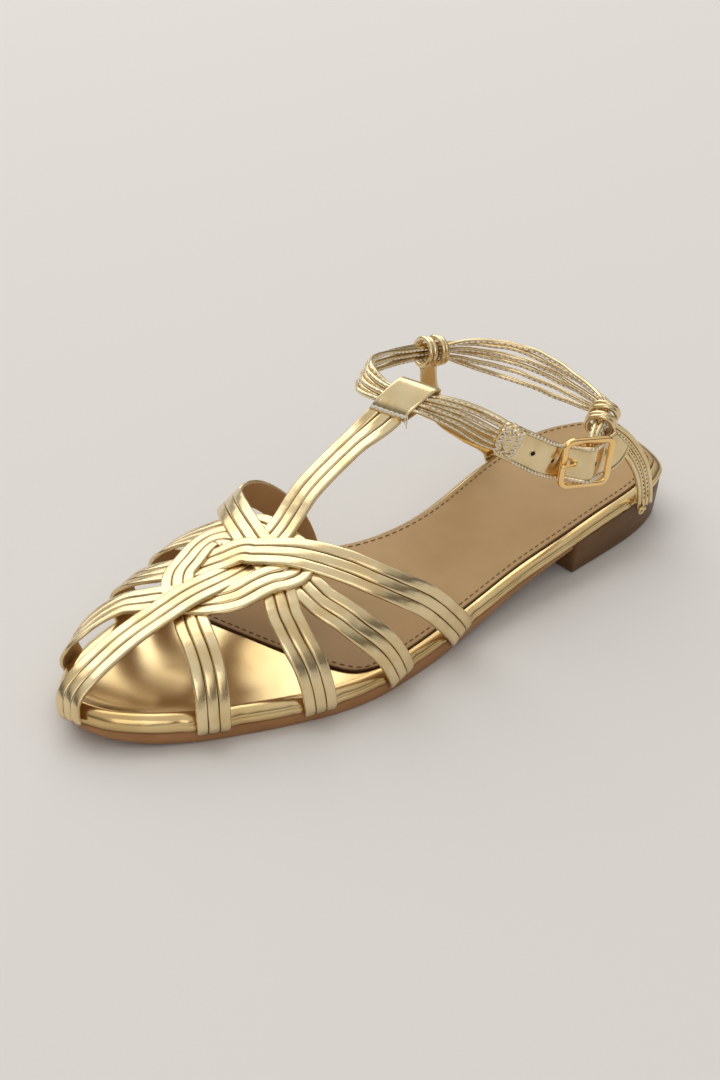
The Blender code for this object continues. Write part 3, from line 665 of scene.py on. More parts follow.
@dataclass(frozen=True)
class Metal:
    """Polished plating with faint wear."""

    name: str = "buckle_gold"
    colour: Colour = (0.98, 0.67, 0.29)
    roughness: float = 0.13

    def material(self) -> Material:
        """Builds the material.

        Returns:
            The material.
        """
        nodes = Nodes.of_material(self.name)
        wear = nodes.noise(2.5, 3.0)
        nodes.bump(nodes.noise(0.9), 0.01)
        return nodes.finish(Base_Color=self.colour, Metallic=1.0,
                            Roughness=self.roughness + 0.12 * (wear - 0.5))


@dataclass(frozen=True)
class Thread:
    """Sewing thread, a little darker where it twists."""

    name: str
    colour: Colour
    roughness: float = 0.5
    dark: float = 0.75

    def material(self) -> Material:
        """Builds the material.

        Returns:
            The material.
        """
        nodes = Nodes.of_material(self.name)
        twist = tuple(self.dark * part for part in self.colour)
        return nodes.finish(Base_Color=nodes.blend(nodes.noise(0.25), self.colour, twist),
                            Roughness=self.roughness)


class Finishes:
    """Every finish of the sandal, made once."""

    def __init__(self) -> None:
        """Builds the materials."""
        self.foil = Foil().material()
        self.bed = Foil("gold_footbed", (0.88, 0.69, 0.37), (0.66, 0.46, 0.20), roughness=0.22,
                        grain=0.006, rumple=0.34, rumple_size=26.0, cloud_size=34.0).material()
        self.lining = Leather("tan_lining", (0.50, 0.30, 0.14), (0.42, 0.24, 0.10),
                              (0.3, 0.15, 0.06)).material()
        self.insole = Leather("tan_insole", (0.47, 0.30, 0.13), (0.40, 0.25, 0.10),
                              (0.07, 0.03, 0.012), 0.42, 0.008).material()
        self.outsole = Sheet("tan_resin", (0.40, 0.20, 0.085), (0.32, 0.155, 0.06),
                             0.42).material()
        self.heel = Sheet("dark_stack", (0.16, 0.082, 0.03), (0.12, 0.058, 0.02),
                          0.38).material()
        self.buckle = Metal().material()
        self.thread = Thread("insole_thread", (0.20, 0.11, 0.05)).material()
        self.lurex = Thread("silver_thread", (1.0, 0.97, 0.88), 0.25).material()
        # Near-black finish for the floors of the tab's holes: painted shade where they go through
        self.void = Thread("hole_dark", (0.02, 0.012, 0.006), 0.8).material()


# ---------------------------------------------------------------- meshes


def skin(name: str, rings: Points, materials: Sequence[Material], *,
         loop: bool = False, bands: Sequence[int] | None = None, caps: bool = True,
         groove: Points | None = None) -> Piece:
    """Mesh over a row of closed rings.

    Args:
        name: name of the piece.
        rings: shop points, as rings by points by 3.
        materials: the piece's materials.
        loop: join the last ring to the first.
        bands: material number of the strip that starts at each point of a ring.
        caps: close the two ends.
        groove: share of the finish's dark colour at each point of a ring, or at each ring, 0 to 1:
            painted shade in the foil's grooves and folds, and the insole's dark edge.

    Returns:
        The new object, smooth shaded.
    """
    count, size = rings.shape[:2]
    base = np.arange(count * size).reshape(count, size)
    if loop:
        base = np.vstack([base, base[:1]])
    a, b = base[:-1], base[1:]
    quads = np.stack([a, np.roll(a, -1, axis=1), np.roll(b, -1, axis=1), b], axis=-1)
    band = np.zeros(size, int) if bands is None else np.asarray(bands, int)
    numbers = np.broadcast_to(band, quads.shape[:2]).reshape(-1)
    faces = quads.reshape(-1, 4).tolist()
    numbers = numbers.tolist()
    if caps and not loop:
        faces += [base[0][::-1].tolist(), base[-1].tolist()]
        numbers += [int(band[-1])] * 2
    mesh = bpy.data.meshes.new(name)
    mesh.from_pydata(LAST.world(rings.reshape(-1, 3)).tolist(), [], faces)
    mesh.polygons.foreach_set("material_index", numbers)
    mesh.polygons.foreach_set("use_smooth", [True] * len(faces))
    depth = np.zeros(count * size) if groove is None else np.broadcast_to(
        groove, (count, size)).reshape(-1)
    mesh.attributes.new("groove", "FLOAT", "POINT").data.foreach_set(
        "value", depth.astype(np.float32))
    for material in materials:
        mesh.materials.append(material)
    mesh.update()
    return shown(name, mesh)


def shown(name: str, mesh: bpy.types.Mesh) -> Piece:
    """Puts a mesh in the scene.

    Args:
        name: name of the object.
        mesh: its mesh.

    Returns:
        The new object.
    """
    piece = bpy.data.objects.new(name, mesh)
    bpy.context.scene.collection.objects.link(piece)
    return piece


def place_on(piece: Piece, slot: Slot, *nodes: str) -> Piece:
    """Makes a piece ride on the sandal and stand for CAD nodes.

    Args:
        piece: the piece.
        slot: slot that its finish belongs to; not used.
        nodes: CAD nodes that it stands for.

    Returns:
        The same piece.
    """
    if nodes:
        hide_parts(*nodes)
    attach(piece, BODY)
    return piece


def carried(middle: Points, out: Points, profile: Points, loop: bool = False) -> Points:
    """Rings of a profile carried along a path.

    Args:
        middle: path.
        out: direction of the face at each point of the path.
        profile: (across, out) corners, one set or one for each ring.
        loop: the path is closed.

    Returns:
        Rings by corners by 3.
    """
    if loop:
        along = np.roll(middle, -1, axis=0) - np.roll(middle, 1, axis=0)
    else:
        along = np.gradient(middle, axis=0)
    across = unit(np.cross(along, out))
    face = unit(np.cross(across, along))
    profile = np.broadcast_to(profile, (len(middle), *np.shape(profile)[-2:]))
    return (middle[:, None] + profile[..., :1] * across[:, None]
            + profile[..., 1:] * face[:, None])


def round_profile(radius: float, sides: int, flat: float = 1.0) -> Points:
    """(across, out) corners of a round cord, with its height scaled by "flat"."""
    turns = full_turn(sides) - math.pi / 2
    return np.stack([radius * np.cos(turns), -flat * radius * np.sin(turns)], axis=1)


def steady_faces(path: Points, first: Points) -> Points:
    """Unit directions across a path that turn as little as they can from a first one.

    Args:
        path: points of the path.
        first: wanted direction at its start.

    Returns:
        One direction for each point.
    """
    along = unit(np.gradient(path, axis=0))
    out = [unit(first - along[0] * np.dot(first, along[0]))]
    for direction in along[1:]:
        out.append(unit(out[-1] - direction * np.dot(out[-1], direction)))
    return np.array(out)


def tube(name: str, path: Points, radius: float | Points, material: Material, *,
         sides: int = 12, loop: bool = False, first: Sequence[float] = (0.03, 0.02, 1.0)
         ) -> Piece:
    """Round cord along a path.

    Args:
        name: name of the piece.
        path: points of its middle line.
        radius: radius, or one for each point.
        material: its material.
        sides: corners round it.
        loop: the path is closed.
        first: direction of its face at the start.

    Returns:
        The new object.
    """
    out = steady_faces(path, np.asarray(first, float))
    size = np.broadcast_to(np.asarray(radius, float), (len(path),))
    profile = round_profile(1.0, sides)[None] * size[:, None, None]
    return skin(name, carried(path, out, profile, loop), [material], loop=loop)


@dataclass(frozen=True)
class Sewing:
    """Sizes of a row of stitches: half the thread's thickness, rise, stitch and gap lengths."""

    radius: float
    rise: float
    length: float = 0.0
    gap: float = 0.0


def mirrored(half: Rows, middle: Rows) -> list[tuple]:
    """Rows of one side, the middle ones, and the first ones again on the other side."""
    return [*half, *middle, *((-row[0], *row[1:]) for row in half[::-1])]


# Rings of one stitch: share of the way along it, share of its thickness, share of its rise
STITCH_RINGS = ((0.0, 0.35, -0.25), (0.14, 0.9, 0.55), (0.5, 1.0, 1.0), (0.86, 0.9, 0.55),
                (1.0, 0.35, -0.25))
STITCH_SIDES = 6


def stitches(name: str, starts: Points, ends: Points, outs: Points, sewing: Sewing,
             material: Material) -> Piece:
    """Short raised stitches, all in one mesh.

    Args:
        name: name of the piece.
        starts: where each stitch comes up.
        ends: where each goes down.
        outs: direction out of the surface, at each or the same for all.
        sewing: sizes of the stitches.
        material: thread material.

    Returns:
        The new object.
    """
    share, thick, lift = np.array(STITCH_RINGS).T[:, None, :, None]
    along = unit(ends - starts)
    across = unit(np.cross(along, outs))
    face = np.cross(across, along)
    centre = (starts[:, None] + (ends - starts)[:, None] * share
              + face[:, None] * lift * sewing.rise)
    ring = round_about(full_turn(STITCH_SIDES), across[:, None, None], face[:, None, None])
    spots = centre[:, :, None] + ring * (thick * sewing.radius)[..., None]
    here = np.arange(STITCH_SIDES)
    after = np.roll(here, -1)
    band = np.stack([here, after, after + STITCH_SIDES, here + STITCH_SIDES], axis=1)
    last = STITCH_SIDES * (len(STITCH_RINGS) - 1)
    corner = (last + STITCH_SIDES) * np.arange(len(starts))[:, None, None]
    sides = corner + np.vstack([band + low for low in range(0, last, STITCH_SIDES)])
    lids = corner + np.array([here[::-1], here + last])
    faces = sides.reshape(-1, 4).tolist() + lids.reshape(-1, STITCH_SIDES).tolist()
    mesh = bpy.data.meshes.new(name)
    mesh.from_pydata(LAST.world(spots.reshape(-1, 3)).tolist(), [], faces)
    mesh.polygons.foreach_set("use_smooth", [True] * len(faces))
    mesh.materials.append(material)
    return shown(name, mesh)


def stitch_run(path: Points, sewing: Sewing) -> tuple[Points, Points]:
    """Starts and ends of stitches spaced along a path.

    Args:
        path: rows whose first three columns are a place.
        sewing: sizes of the stitches.

    Returns:
        Rows at the starts and at the ends.
    """
    last = travelled(path)[-1] - sewing.length
    begin = np.arange(sewing.gap / 2, last, sewing.length + sewing.gap)
    return read_at(path, begin), read_at(path, begin + sewing.length)


# ---------------------------------------------------------------- sole


@dataclass
class Sole:
    """Outsole, heel block, foil-wrapped board and stitched insole."""

    finishes: Finishes
    points: int = 640
    spine_back: float = 24.0
    spine_front: float = 216.0
    insole_margin: float = 3.2
    insole_thickness: float = 0.8
    insole_foot_depth: float = 0.9
    insole_spine_front: float = 160.0
    insole_front: Rows = ((-60, 190), (-30, 185), (-8, 179.5), (9, 174.5), (25, 168.5),
                          (31.5, 164.5), (35, 157), (38, 146), (60, 120))
    foil_gap: float = 0.15
    fold_drop: float = 2.15
    fold_front: float = 228.0
    fold_fade: float = 10.0
    breast: float = 62.0
    breast_gap: float = 0.3
    sheet_inset: float = 0.5
    sheet_gap: float = 0.05
    heel_middle: tuple = (2.0, -31.0)
    stitch_inset: float = 2.0
    sewing: Sewing = Sewing(0.2, 0.12, 1.9, 0.9)
    foil_wave: float = 0.16
    foil_wave_lengths: tuple = (7.5, 21.0, 13.0)
    side_wave: float = 0.07
    side_wave_length: float = 31.0
    side_wave_drops: tuple = (0.4, 4.2)
    landings: Rows = ((1, 213.5), (1, 181.5), (1, 150.8), (1, 121.5), (-1, 226), (-1, 197),
                      (-1, 166), (-1, 129.5), (1, 27), (-1, 44.5))
    # Wrinkles beside a landing: distance from its middle, width, height
    wrinkles: Rows = ((-6.3, 1.1, 0.22), (6.1, 0.9, 0.2), (8.4, 0.7, -0.16), (-9.2, 1.4, -0.14))
    # Side of the board: distance in from the outline, drop below its top
    board_side: Rows = ((3.6, 0.0), (2.6, 0.12), (1.7, 0.4), (0.95, 0.85), (0.45, 1.4),
                        (0.2, 1.85), (0.08, 2.15), (0.0, 2.5), (-0.02, 3.0), (0.06, 3.5),
                        (0.25, 3.95), (0.6, 4.25), (1.4, 4.35))
    # Edge of the insole: distance in from the outline, drop, darkness
    insole_edge: Rows = ((0.7, 0.02, 0.0), (0.35, 0.08, 0.35), (0.1, 0.22, 0.9),
                         (0.0, 0.45, 1.0), (0.02, 0.85, 1.0), (0.8, 0.9, 1.0))
    # Walls: distance in from the outline, share of the height
    outsole_wall: Rows = ((1.0, 1.0), (0.15, 0.97), (0.0, 0.85), (0.0, 0.45), (0.25, 0.2),
                          (0.6, 0.06), (1.2, 0.0))
    heel_wall: Rows = ((1.2, 1.0), (0.2, 0.985), (0.0, 0.94), (0.1, 0.75), (0.45, 0.5),
                       (0.75, 0.28), (0.85, 0.24), (1.02, 0.225), (1.02, 0.21), (0.9, 0.195),
                       (1.15, 0.1), (1.3, 0.04), (1.8, 0.0))

    def spine(self, loop: Points, front: float) -> Points:
        """Nearest points of the sole's middle line, up to a front station, to an outline's.

        Args:
            loop: (x, y) rows.
            front: last station of the middle line.

        Returns:
            One (x, y) row for each.
        """
        station = np.clip(-loop[:, 1], self.spine_back, front)
        middle = (LAST.edge_at(station, 1) + LAST.edge_at(station, -1)) / 2
        return np.stack([middle, -station], axis=1)

    def covered(self, loop: Points, height: Heights, shares: Sequence[float],
                front: float | None = None) -> list[Points]:
        """Rings that draw in from an outline to the middle line.

        Args:
            loop: (x, y) outline.
            height: function from (x, y) rows to heights.
            shares: how far out each ring lies, 1 at the outline and 0 at the middle line.
            front: station where the middle line ends.

        Returns:
            Rings of shop points.
        """
        return drawn_in(loop, self.spine(loop, front or self.spine_front), height, shares)

    def insole_top(self, flat: Points) -> Points:
        """Height of the insole's top at (x, y) rows."""
        return LAST.footbed(-flat[:, 1])

    def insole_foot(self, flat: Points) -> Points:
        """Height of the insole's underside."""
        return self.insole_top(flat) - self.insole_foot_depth

    def foil(self, flat: Points) -> Points:
        """Height of the board's foil where it lies flat."""
        return self.insole_top(flat) - self.insole_thickness - self.foil_gap

    def waved_foil(self, flat: Points) -> Points:
        """Height of the board's foil, with the soft waves that show in its reflections.

        Args:
            flat: (x, y) rows.

        Returns:
            One height for each.
        """
        x, station = flat[:, 0], -flat[:, 1]
        across, askew, along = self.foil_wave_lengths
        wave = np.sin(x / across + station / askew) * np.sin(station / along + 0.6)
        return self.foil(flat) + self.foil_wave * wave

    def board_foot(self, flat: Points) -> Points:
        """Height of the board's underside."""
        return self.insole_top(flat) - LAST.rand(-flat[:, 1])

    def sheet_top(self, flat: Points) -> Points:
        """Height of the top of the outsole and heel."""
        return self.board_foot(flat) - self.sheet_gap

    def sheet_foot(self, flat: Points) -> Points:
        """Height of the outsole's underside."""
        return LAST.tread(-flat[:, 1])

    def floor(self, flat: Points) -> Points:
        """Height of the floor."""
        return np.zeros(len(flat))

    def creases(self, loop: Points) -> Points:
        """Height of the wrinkles in the foil edge beside each strap, for each outline point.

        Args:
            loop: (x, y) outline.

        Returns:
            One height for each point.
        """
        high = np.zeros(len(loop))
        side = np.where(loop[:, 0] > self.spine(loop, self.spine_front)[:, 0], 1, -1)
        for k, (which, station) in enumerate(self.landings):
            for shift, width, size in self.wrinkles:
                away = (-loop[:, 1] - station - shift - 0.6 * math.sin(3.1 * k + shift)) / width
                high += np.where(side == which, size * np.exp(-away**2), 0)
        return high

    def board(self) -> Piece:
        """Board wrapped in foil: flat margin, a fold along the edge with painted shade in its
        crease, and a rounded side.

        Returns:
            The new object.
        """
        loop = LAST.outline(0.0, self.points)
        normal = inward(loop)
        run = travelled(np.column_stack([loop, self.floor(loop)]))
        wrinkle = self.creases(loop)
        margin, deepest = self.board_side[0][0] + 0.4, self.board_side[-1][1]
        first, last = self.side_wave_drops
        rings = self.covered(loop + margin * normal, self.waved_foil,
                             (0, 0.2, 0.4, 0.6, 0.8, 1))
        top = self.foil(loop)
        deep = (top - self.board_foot(loop) - self.sheet_gap) / deepest
        folded = np.clip((self.fold_front + loop[:, 1]) / self.fold_fade, 0, 1)
        depth = [0 * folded] * len(rings)
        for k, (inset, drop) in enumerate(self.board_side):
            fold = folded * (drop == self.fold_drop)
            soft = self.side_wave * wander(run, self.side_wave_length, 1.3 * k)
            soft = soft * (first < drop < last)
            bulge = (wrinkle * (1.0 if drop > 1.0 else 0.5) + soft) * (drop > 0.1) - 0.3 * fold
            flat = loop + (inset - bulge)[:, None] * normal
            rings.append(np.column_stack([flat, top - drop * deep + 0.3 * soft]))
            # Painted shade along the fold's crease
            depth.append(0.5 * fold)
        rings += self.covered(loop + 2.0 * normal, self.board_foot, (1, 0.5, 0))
        depth += [0 * folded] * 3
        board = skin("footbed_board_wrap", np.array(rings)[::-1], [self.finishes.bed],
                     caps=False, groove=np.array(depth)[::-1])
        return place_on(board, Slot.FOOTBED, "footbed_board")

    def insole_loop(self, inset: float) -> Points:
        """Outline of the insole, drawn in by an inset, as (x, y) rows.

        Args:
            inset: distance in from the insole's edge.

        Returns:
            The closed outline.
        """
        loop = LAST.outline(self.insole_margin + inset, 900)
        front = flowing([(x, -station) for x, station in self.insole_front], 0.8)[::-1]
        front = front + inset * np.array([0.0, 1.0])
        station = np.interp(loop[:, 0], front[::-1, 0], -front[::-1, 1])
        loop = kept_stretch(loop, -loop[:, 1] <= station)
        edge = (front[:, 0] < loop[-1, 0] - 0.3) & (front[:, 0] > loop[0, 0] + 0.3)
        whole = softened(np.vstack([loop, front[edge], loop[:1]]), 3)
        return spaced(whole, travelled(whole)[-1] / 620, closed=True)

    def insole(self) -> Piece:
        """Thin insole with a softly rounded, dark edge.

        Returns:
            The new object.
        """
        loop = self.insole_loop(0.0)
        normal = inward(loop)
        rings = self.covered(loop + 1.2 * normal, self.insole_top,
                             (0, 0.2, 0.4, 0.6, 0.8, 0.97, 1), self.insole_spine_front)
        depth = [0.0] * len(rings)
        for inset, drop, dark in self.insole_edge:
            flat = loop + inset * normal
            rings.append(np.column_stack([flat, self.insole_top(flat) - drop]))
            depth.append(dark)
        rings += self.covered(loop + 2 * normal, self.insole_foot, (1, 0),
                              self.insole_spine_front)
        depth += [0.0, 0.0]
        piece = skin("insole_sheet", np.array(rings)[::-1], [self.finishes.insole], caps=False,
                     groove=np.array(depth)[::-1, None])
        return place_on(piece, Slot.INSOLE, "insole")

    def insole_stitches(self) -> Piece:
        """Row of stitches that follows the insole's edge.

        Returns:
            The new object.
        """
        loop = self.insole_loop(self.stitch_inset)
        loop = np.vstack([loop, loop[:1]])
        path = np.column_stack([loop, self.insole_top(loop) + 0.02])
        starts, ends = stitch_run(path, self.sewing)
        piece = stitches("insole_stitches", starts, ends, UP, self.sewing, self.finishes.thread)
        return place_on(piece, Slot.INSOLE)

    def wall(self, loop: Points, rows: Rows, top: Heights, foot: Heights) -> list[Points]:
        """Rings down a side wall.

        Args:
            loop: outline.
            rows: inset and share of the height, 1 at the top, for each ring.
            top: function from (x, y) rows to the height of the wall's top.
            foot: the same for its foot.

        Returns:
            Rings of shop points.
        """
        normal, high, low = inward(loop), top(loop), foot(loop)
        return [np.column_stack([loop + inset * normal, low + share * (high - low)])
                for inset, share in rows]

    def outsole(self) -> Piece:
        """Outsole ahead of the heel, with a softened lower edge.

        Returns:
            The new object.
        """
        loop = self.clipped(front=True)
        normal = inward(loop)
        rings = self.covered(loop + 1.5 * normal, self.sheet_top, (0, 0.5, 1))
        rings += self.wall(loop, self.outsole_wall, self.sheet_top, self.sheet_foot)
        rings += self.covered(loop + 1.8 * normal, self.sheet_foot, (1, 0.75, 0.5, 0.25, 0))
        piece = skin("outsole_sheet", np.array(rings)[::-1], [self.finishes.outsole], caps=False)
        return place_on(piece, Slot.OUTSOLE, "outsole")

    def clipped(self, front: bool) -> Points:
        """Outline of the outsole ahead of the heel's breast, or of the heel behind it.

        Args:
            front: the part ahead of the breast.

        Returns:
            The closed (x, y) outline.
        """
        loop = LAST.outline(self.sheet_inset, 1000)
        station = -loop[:, 1]
        part = kept_stretch(loop, station > self.breast + self.breast_gap if front
                            else station < self.breast)
        across = np.linspace(0, 1, 40)[1:-1, None]
        whole = np.vstack([part, part[-1] + (part[0] - part[-1]) * across, part[:1]])
        whole = softened(whole, 6)
        return spaced(whole, travelled(whole)[-1] / 480, closed=True)

    def heel(self) -> Piece:
        """Heel block: stacked, drawn in a little towards the floor, with a top piece.

        Returns:
            The new object.
        """
        loop = self.clipped(front=False)
        rings = drawn_in(loop, np.array(self.heel_middle), self.sheet_top, (0, 0.5, 0.9))
        rings += self.wall(loop, self.heel_wall, self.sheet_top, self.floor)
        rings += drawn_in(loop, np.array(self.heel_middle), self.floor, (0.85, 0.5, 0))
        piece = skin("heel_stack", np.array(rings)[::-1], [self.finishes.heel], caps=False)
        return place_on(piece, Slot.HEEL, "heel_block")

    def build(self) -> list[Piece]:
        """Makes every piece of the sole."""
        return [self.outsole(), self.heel(), self.board(), self.insole(), self.insole_stitches()]


# ---------------------------------------------------------------- woven upper


@dataclass
class RibbedStrap:
    """Strap of rolled foil ribs side by side on a leather lining."""

    width: float = 10.9
    crown: float = 0.9
    valley: float = 0.3
    below: float = 0.55
    ribs: int = 3
    corners: int = 11
    step: float = 0.8
    fullness: float = 4.5
    rib_share: float = 0.97
    # Painted shade at the foot of the outer ribs' outsides, and on the edge where the foil turns
    # under
    outside_dark: float = 0.35
    edge_dark: float = 0.25
    # Half of the underside's edge: share of the half width, height
    edge: Rows = ((1, -0.1), (0.985, -0.38))
    lining_shares: tuple = (0.95, 0.5)
    # Waver of a rib: size, length, step from rib to rib
    rise_waver: tuple = (0.05, 23.0, 1.9)
    side_waver: tuple = (0.09, 41.0, 3.3)

    def profile(self) -> tuple[Points, Points, list[int]]:
        """Cross-section of the strap.

        Returns:
            (across, out) corners, how deep each lies in a groove, and its material's number.
        """
        half, pitch = self.width / 2, self.width / self.ribs
        places = np.sin(np.linspace(-1, 1, self.corners) * math.pi / 2)
        heights = (1 - np.abs(places) ** self.fullness) ** 0.5
        spots, depth = [], []
        for k in range(self.ribs):
            centre = (k + 0.5) * pitch - half
            for place, height in zip(places, heights):
                spots.append((centre + self.rib_share / 2 * pitch * place,
                              self.valley + (self.crown - self.valley) * height))
                inner = (place < 0 and k > 0) or (place > 0 and k < self.ribs - 1)
                # Painted shade, darker down towards the floor of each valley between ribs
                depth.append((1 if inner else self.outside_dark) * (1 - height) ** 2)
        lined = [(share, -self.below) for share in self.lining_shares]
        for share, out in mirrored([*self.edge, *lined], [(0, -self.below)]):
            spots.append((share * half, out))
            depth.append(self.edge_dark if out > -self.below else 0.0)
        tail = [0] * (len(self.edge) + 1)
        lining = [1] * 2 * len(lined)
        bands = [0] * (len(spots) - len(tail) - len(lining)) + lining + tail
        return np.array(spots), np.array(depth), bands

    def sections(self, run: Points, phase: float) -> Points:
        """The profile at each distance along a path, with each rib wavering a little.

        Args:
            run: distances along the path.
            phase: number that tells straps apart.

        Returns:
            Profiles, as points of the path by corners by 2.
        """
        spots, _, _ = self.profile()
        profiles = np.repeat(spots[None], len(run), axis=0)
        for k in range(self.ribs):
            rib = slice(k * self.corners, (k + 1) * self.corners)
            for axis, (size, length, step) in enumerate((self.side_waver, self.rise_waver)):
                profiles[:, rib, axis] += size * wander(run, length, phase + step * k)[:, None]
        return profiles

    def build(self, name: str, middle: Points, out: Points, phase: float,
              materials: Sequence[Material]) -> Piece:
        """Makes the strap along a path.

        Args:
            name: name of the piece.
            middle: points of its middle line.
            out: direction of its face at each.
            phase: number that tells straps apart.
            materials: foil and lining.

        Returns:
            The new object.
        """
        _, depth, bands = self.profile()
        rings = carried(middle, out, self.sections(travelled(middle), phase))
        return skin(name, rings, materials, bands=bands, groove=depth)


@dataclass
class Weave:
    """Woven straps over the forefoot and the instep strap."""

    finishes: Finishes
    strap: RibbedStrap = field(default_factory=RibbedStrap)
    layer: float = 1.45
    tuck_in: float = 1.3
    tuck_length: float = 3.0
    lift_rounds: int = 60
    face_rounds: int = 24
    instep_roll: float = 27.0
    roll_length: float = 16.0
    # Each strap's course over the foot form: station, girth, layers of lift
    straps: dict[str, Rows] = field(default_factory=lambda: {
        "centre": ((246, 0, 0), (244.7, 0, 0), (241.2, 0, 0), (234, 0, 0), (225.5, 0, 0.2),
                   (218, 0, 0.7), (211, 0, 1.3), (204, 0, 1.9), (197, 0, 2), (190.5, 0, 1.4),
                   (184, 0, 0.4), (178, 0, 0), (173, 0, -0.1), (165, 0, 0), (150, 0, 0),
                   (135, 0, 0), (119.4, 0, 0)),
        "lateral_loop": ((213.5, 1, 0), (213.5, 0.9, 0), (212.5, 0.7, 0), (209.5, 0.4, 0),
                         (206, 0.15, 0), (202.5, 0.02, 0), (198.5, -0.08, 0.3),
                         (194, -0.14, 0.8), (188.5, -0.165, 1.3), (183.5, -0.19, 1.4),
                         (179.5, -0.2, 1), (176, -0.18, 0.2), (173, -0.12, -0.4),
                         (171, 0, -0.5), (171.3, 0.15, -0.4), (171.5, 0.28, -0.3),
                         (171, 0.38, -0.1), (167, 0.54, 0), (163.5, 0.66, 0),
                         (159.5, 0.77, 0), (155.5, 0.88, 0), (152.5, 0.96, 0), (150.8, 1, 0)),
        "medial_loop": ((226, -1, 0), (229, -0.84, -0.3), (230, -0.68, -0.6),
                        (227, -0.5, -0.6), (221.5, -0.39, -0.4), (216.5, -0.3, -0.2),
                        (213, -0.23, 0), (209.5, -0.14, 0.2), (203, -0.03, 0.4),
                        (197.5, 0.06, 0.7), (194, 0.1, 1), (189, 0.125, 1), (184, 0.13, 1),
                        (178.5, 0.15, 1), (174.5, 0.18, 1), (171.5, 0.19, 0.6),
                        (168, 0.16, 0), (165.8, 0.08, -0.8), (165.8, -0.05, -0.8),
                        (168.5, -0.15, -0.8), (173, -0.28, -0.4), (179.5, -0.44, 0.3),
                        (184, -0.56, 0.8), (183, -0.72, 0.6), (176, -0.86, 0.2),
                        (166, -1, 0)),
        "lateral_rear": ((121.5, 1, 0), (128.5, 0.92, 0), (138.5, 0.78, 0), (147.5, 0.64, 0),
                         (154, 0.5, 0), (159, 0.35, 0.2), (163, 0.23, 0.9), (166, 0.16, 1.5),
                         (171, 0.07, 2), (176.5, -0.01, 1.9), (183.5, -0.06, 1),
                         (189, -0.12, 0.1), (193.5, -0.2, 0), (197.5, -0.29, 0),
                         (200.5, -0.41, 0), (202, -0.56, -0.3), (201, -0.76, -0.2),
                         (197, -1, 0)),
        "medial_rear": ((129.5, -1, 0), (135, -0.88, 0), (146, -0.7, 0.2), (155, -0.56, 0.5),
                        (158.5, -0.5, 0.5), (162, -0.38, 0.4), (166.5, -0.21, 0.7),
                        (170, -0.08, 1), (172.5, 0, 1), (175, 0.09, 0.8), (178, 0.18, 0.1),
                        (180.5, 0.26, -0.2), (183, 0.39, 0), (183.7, 0.54, 0),
                        (183, 0.69, 0), (182.5, 0.81, 0), (182, 0.91, 0), (181.5, 1, 0)),
    })

    def path(self, rows: Rows) -> tuple[Points, Points]:
        """Middle line of a strap on the foot form and the directions of its face.

        Args:
            rows: course over the foot form.

        Returns:
            Points of the line, and a unit direction for each.
        """
        rows = smooth(range(len(rows)), rows, np.linspace(0, len(rows) - 1, 24 * len(rows)))
        places = np.column_stack([LAST.surface(rows[:, 0], rows[:, 1]), rows])
        places = spaced(places, self.strap.step)
        out = LAST.outwards(places[:, 3], places[:, 4])
        lift = softened(places[:, 5:6], self.lift_rounds) * self.layer
        return places[:, :3] + out * lift, unit(softened(out, self.face_rounds))

    def rolled(self, middle: Points, out: Points) -> Points:
        """Face directions of the instep strap, its last part rolled to the outer side.

        Args:
            middle: middle line.
            out: directions of its face.

        Returns:
            The turned directions.
        """
        run = travelled(middle)
        share = np.clip((run - run[-1] + self.roll_length) / self.roll_length, 0, 1)
        turn = np.radians(self.instep_roll * share**2 * (3 - 2 * share))[:, None]
        across = unit(np.cross(np.gradient(middle, axis=0), out))
        return out * np.cos(turn) + across * np.sin(turn)

    def tucked(self, middle: Points, out: Points, both: bool) -> Points:
        """The middle line with its landed ends turned in under the edge.

        Args:
            middle: middle line.
            out: directions of its face.
            both: tuck its last end as well as its first.

        Returns:
            The middle line, tucked.
        """
        middle = middle.copy()
        run = travelled(middle)
        for away in (run, run[-1] - run) if both else (run,):
            near = np.clip(1 - away / self.tuck_length, 0, 1) ** 2
            middle -= out * (self.tuck_in * near)[:, None]
        return middle

    def build(self) -> list[Piece]:
        """Makes the five straps.

        Returns:
            The new objects.
        """
        made = []
        for k, (name, rows) in enumerate(self.straps.items()):
            middle, out = self.path(rows)
            if name == "centre":
                out = self.rolled(middle, out)
            middle = self.tucked(middle, out, name != "centre")
            made.append(self.strap.build(f"strap_{name}", middle, out, 1.0 + 2.3 * k,
                                         [self.finishes.foil, self.finishes.lining]))
            place_on(made[-1], Slot.STRAPS, "upper")
        return made


# ---------------------------------------------------------------- ankle

# Places of the six cords across their course: packed on three rows of two, in the sleeve, round
# the front bend
KNOTTED = (-1.9, -1.9, 0.0, 0.0, 1.9, 1.9)
SLEEVED = (-3.1, -1.9, -0.6, 0.6, 1.9, 3.1)
BENT = (-4.1, -2.5, -0.8, 0.8, 2.5, 4.1)


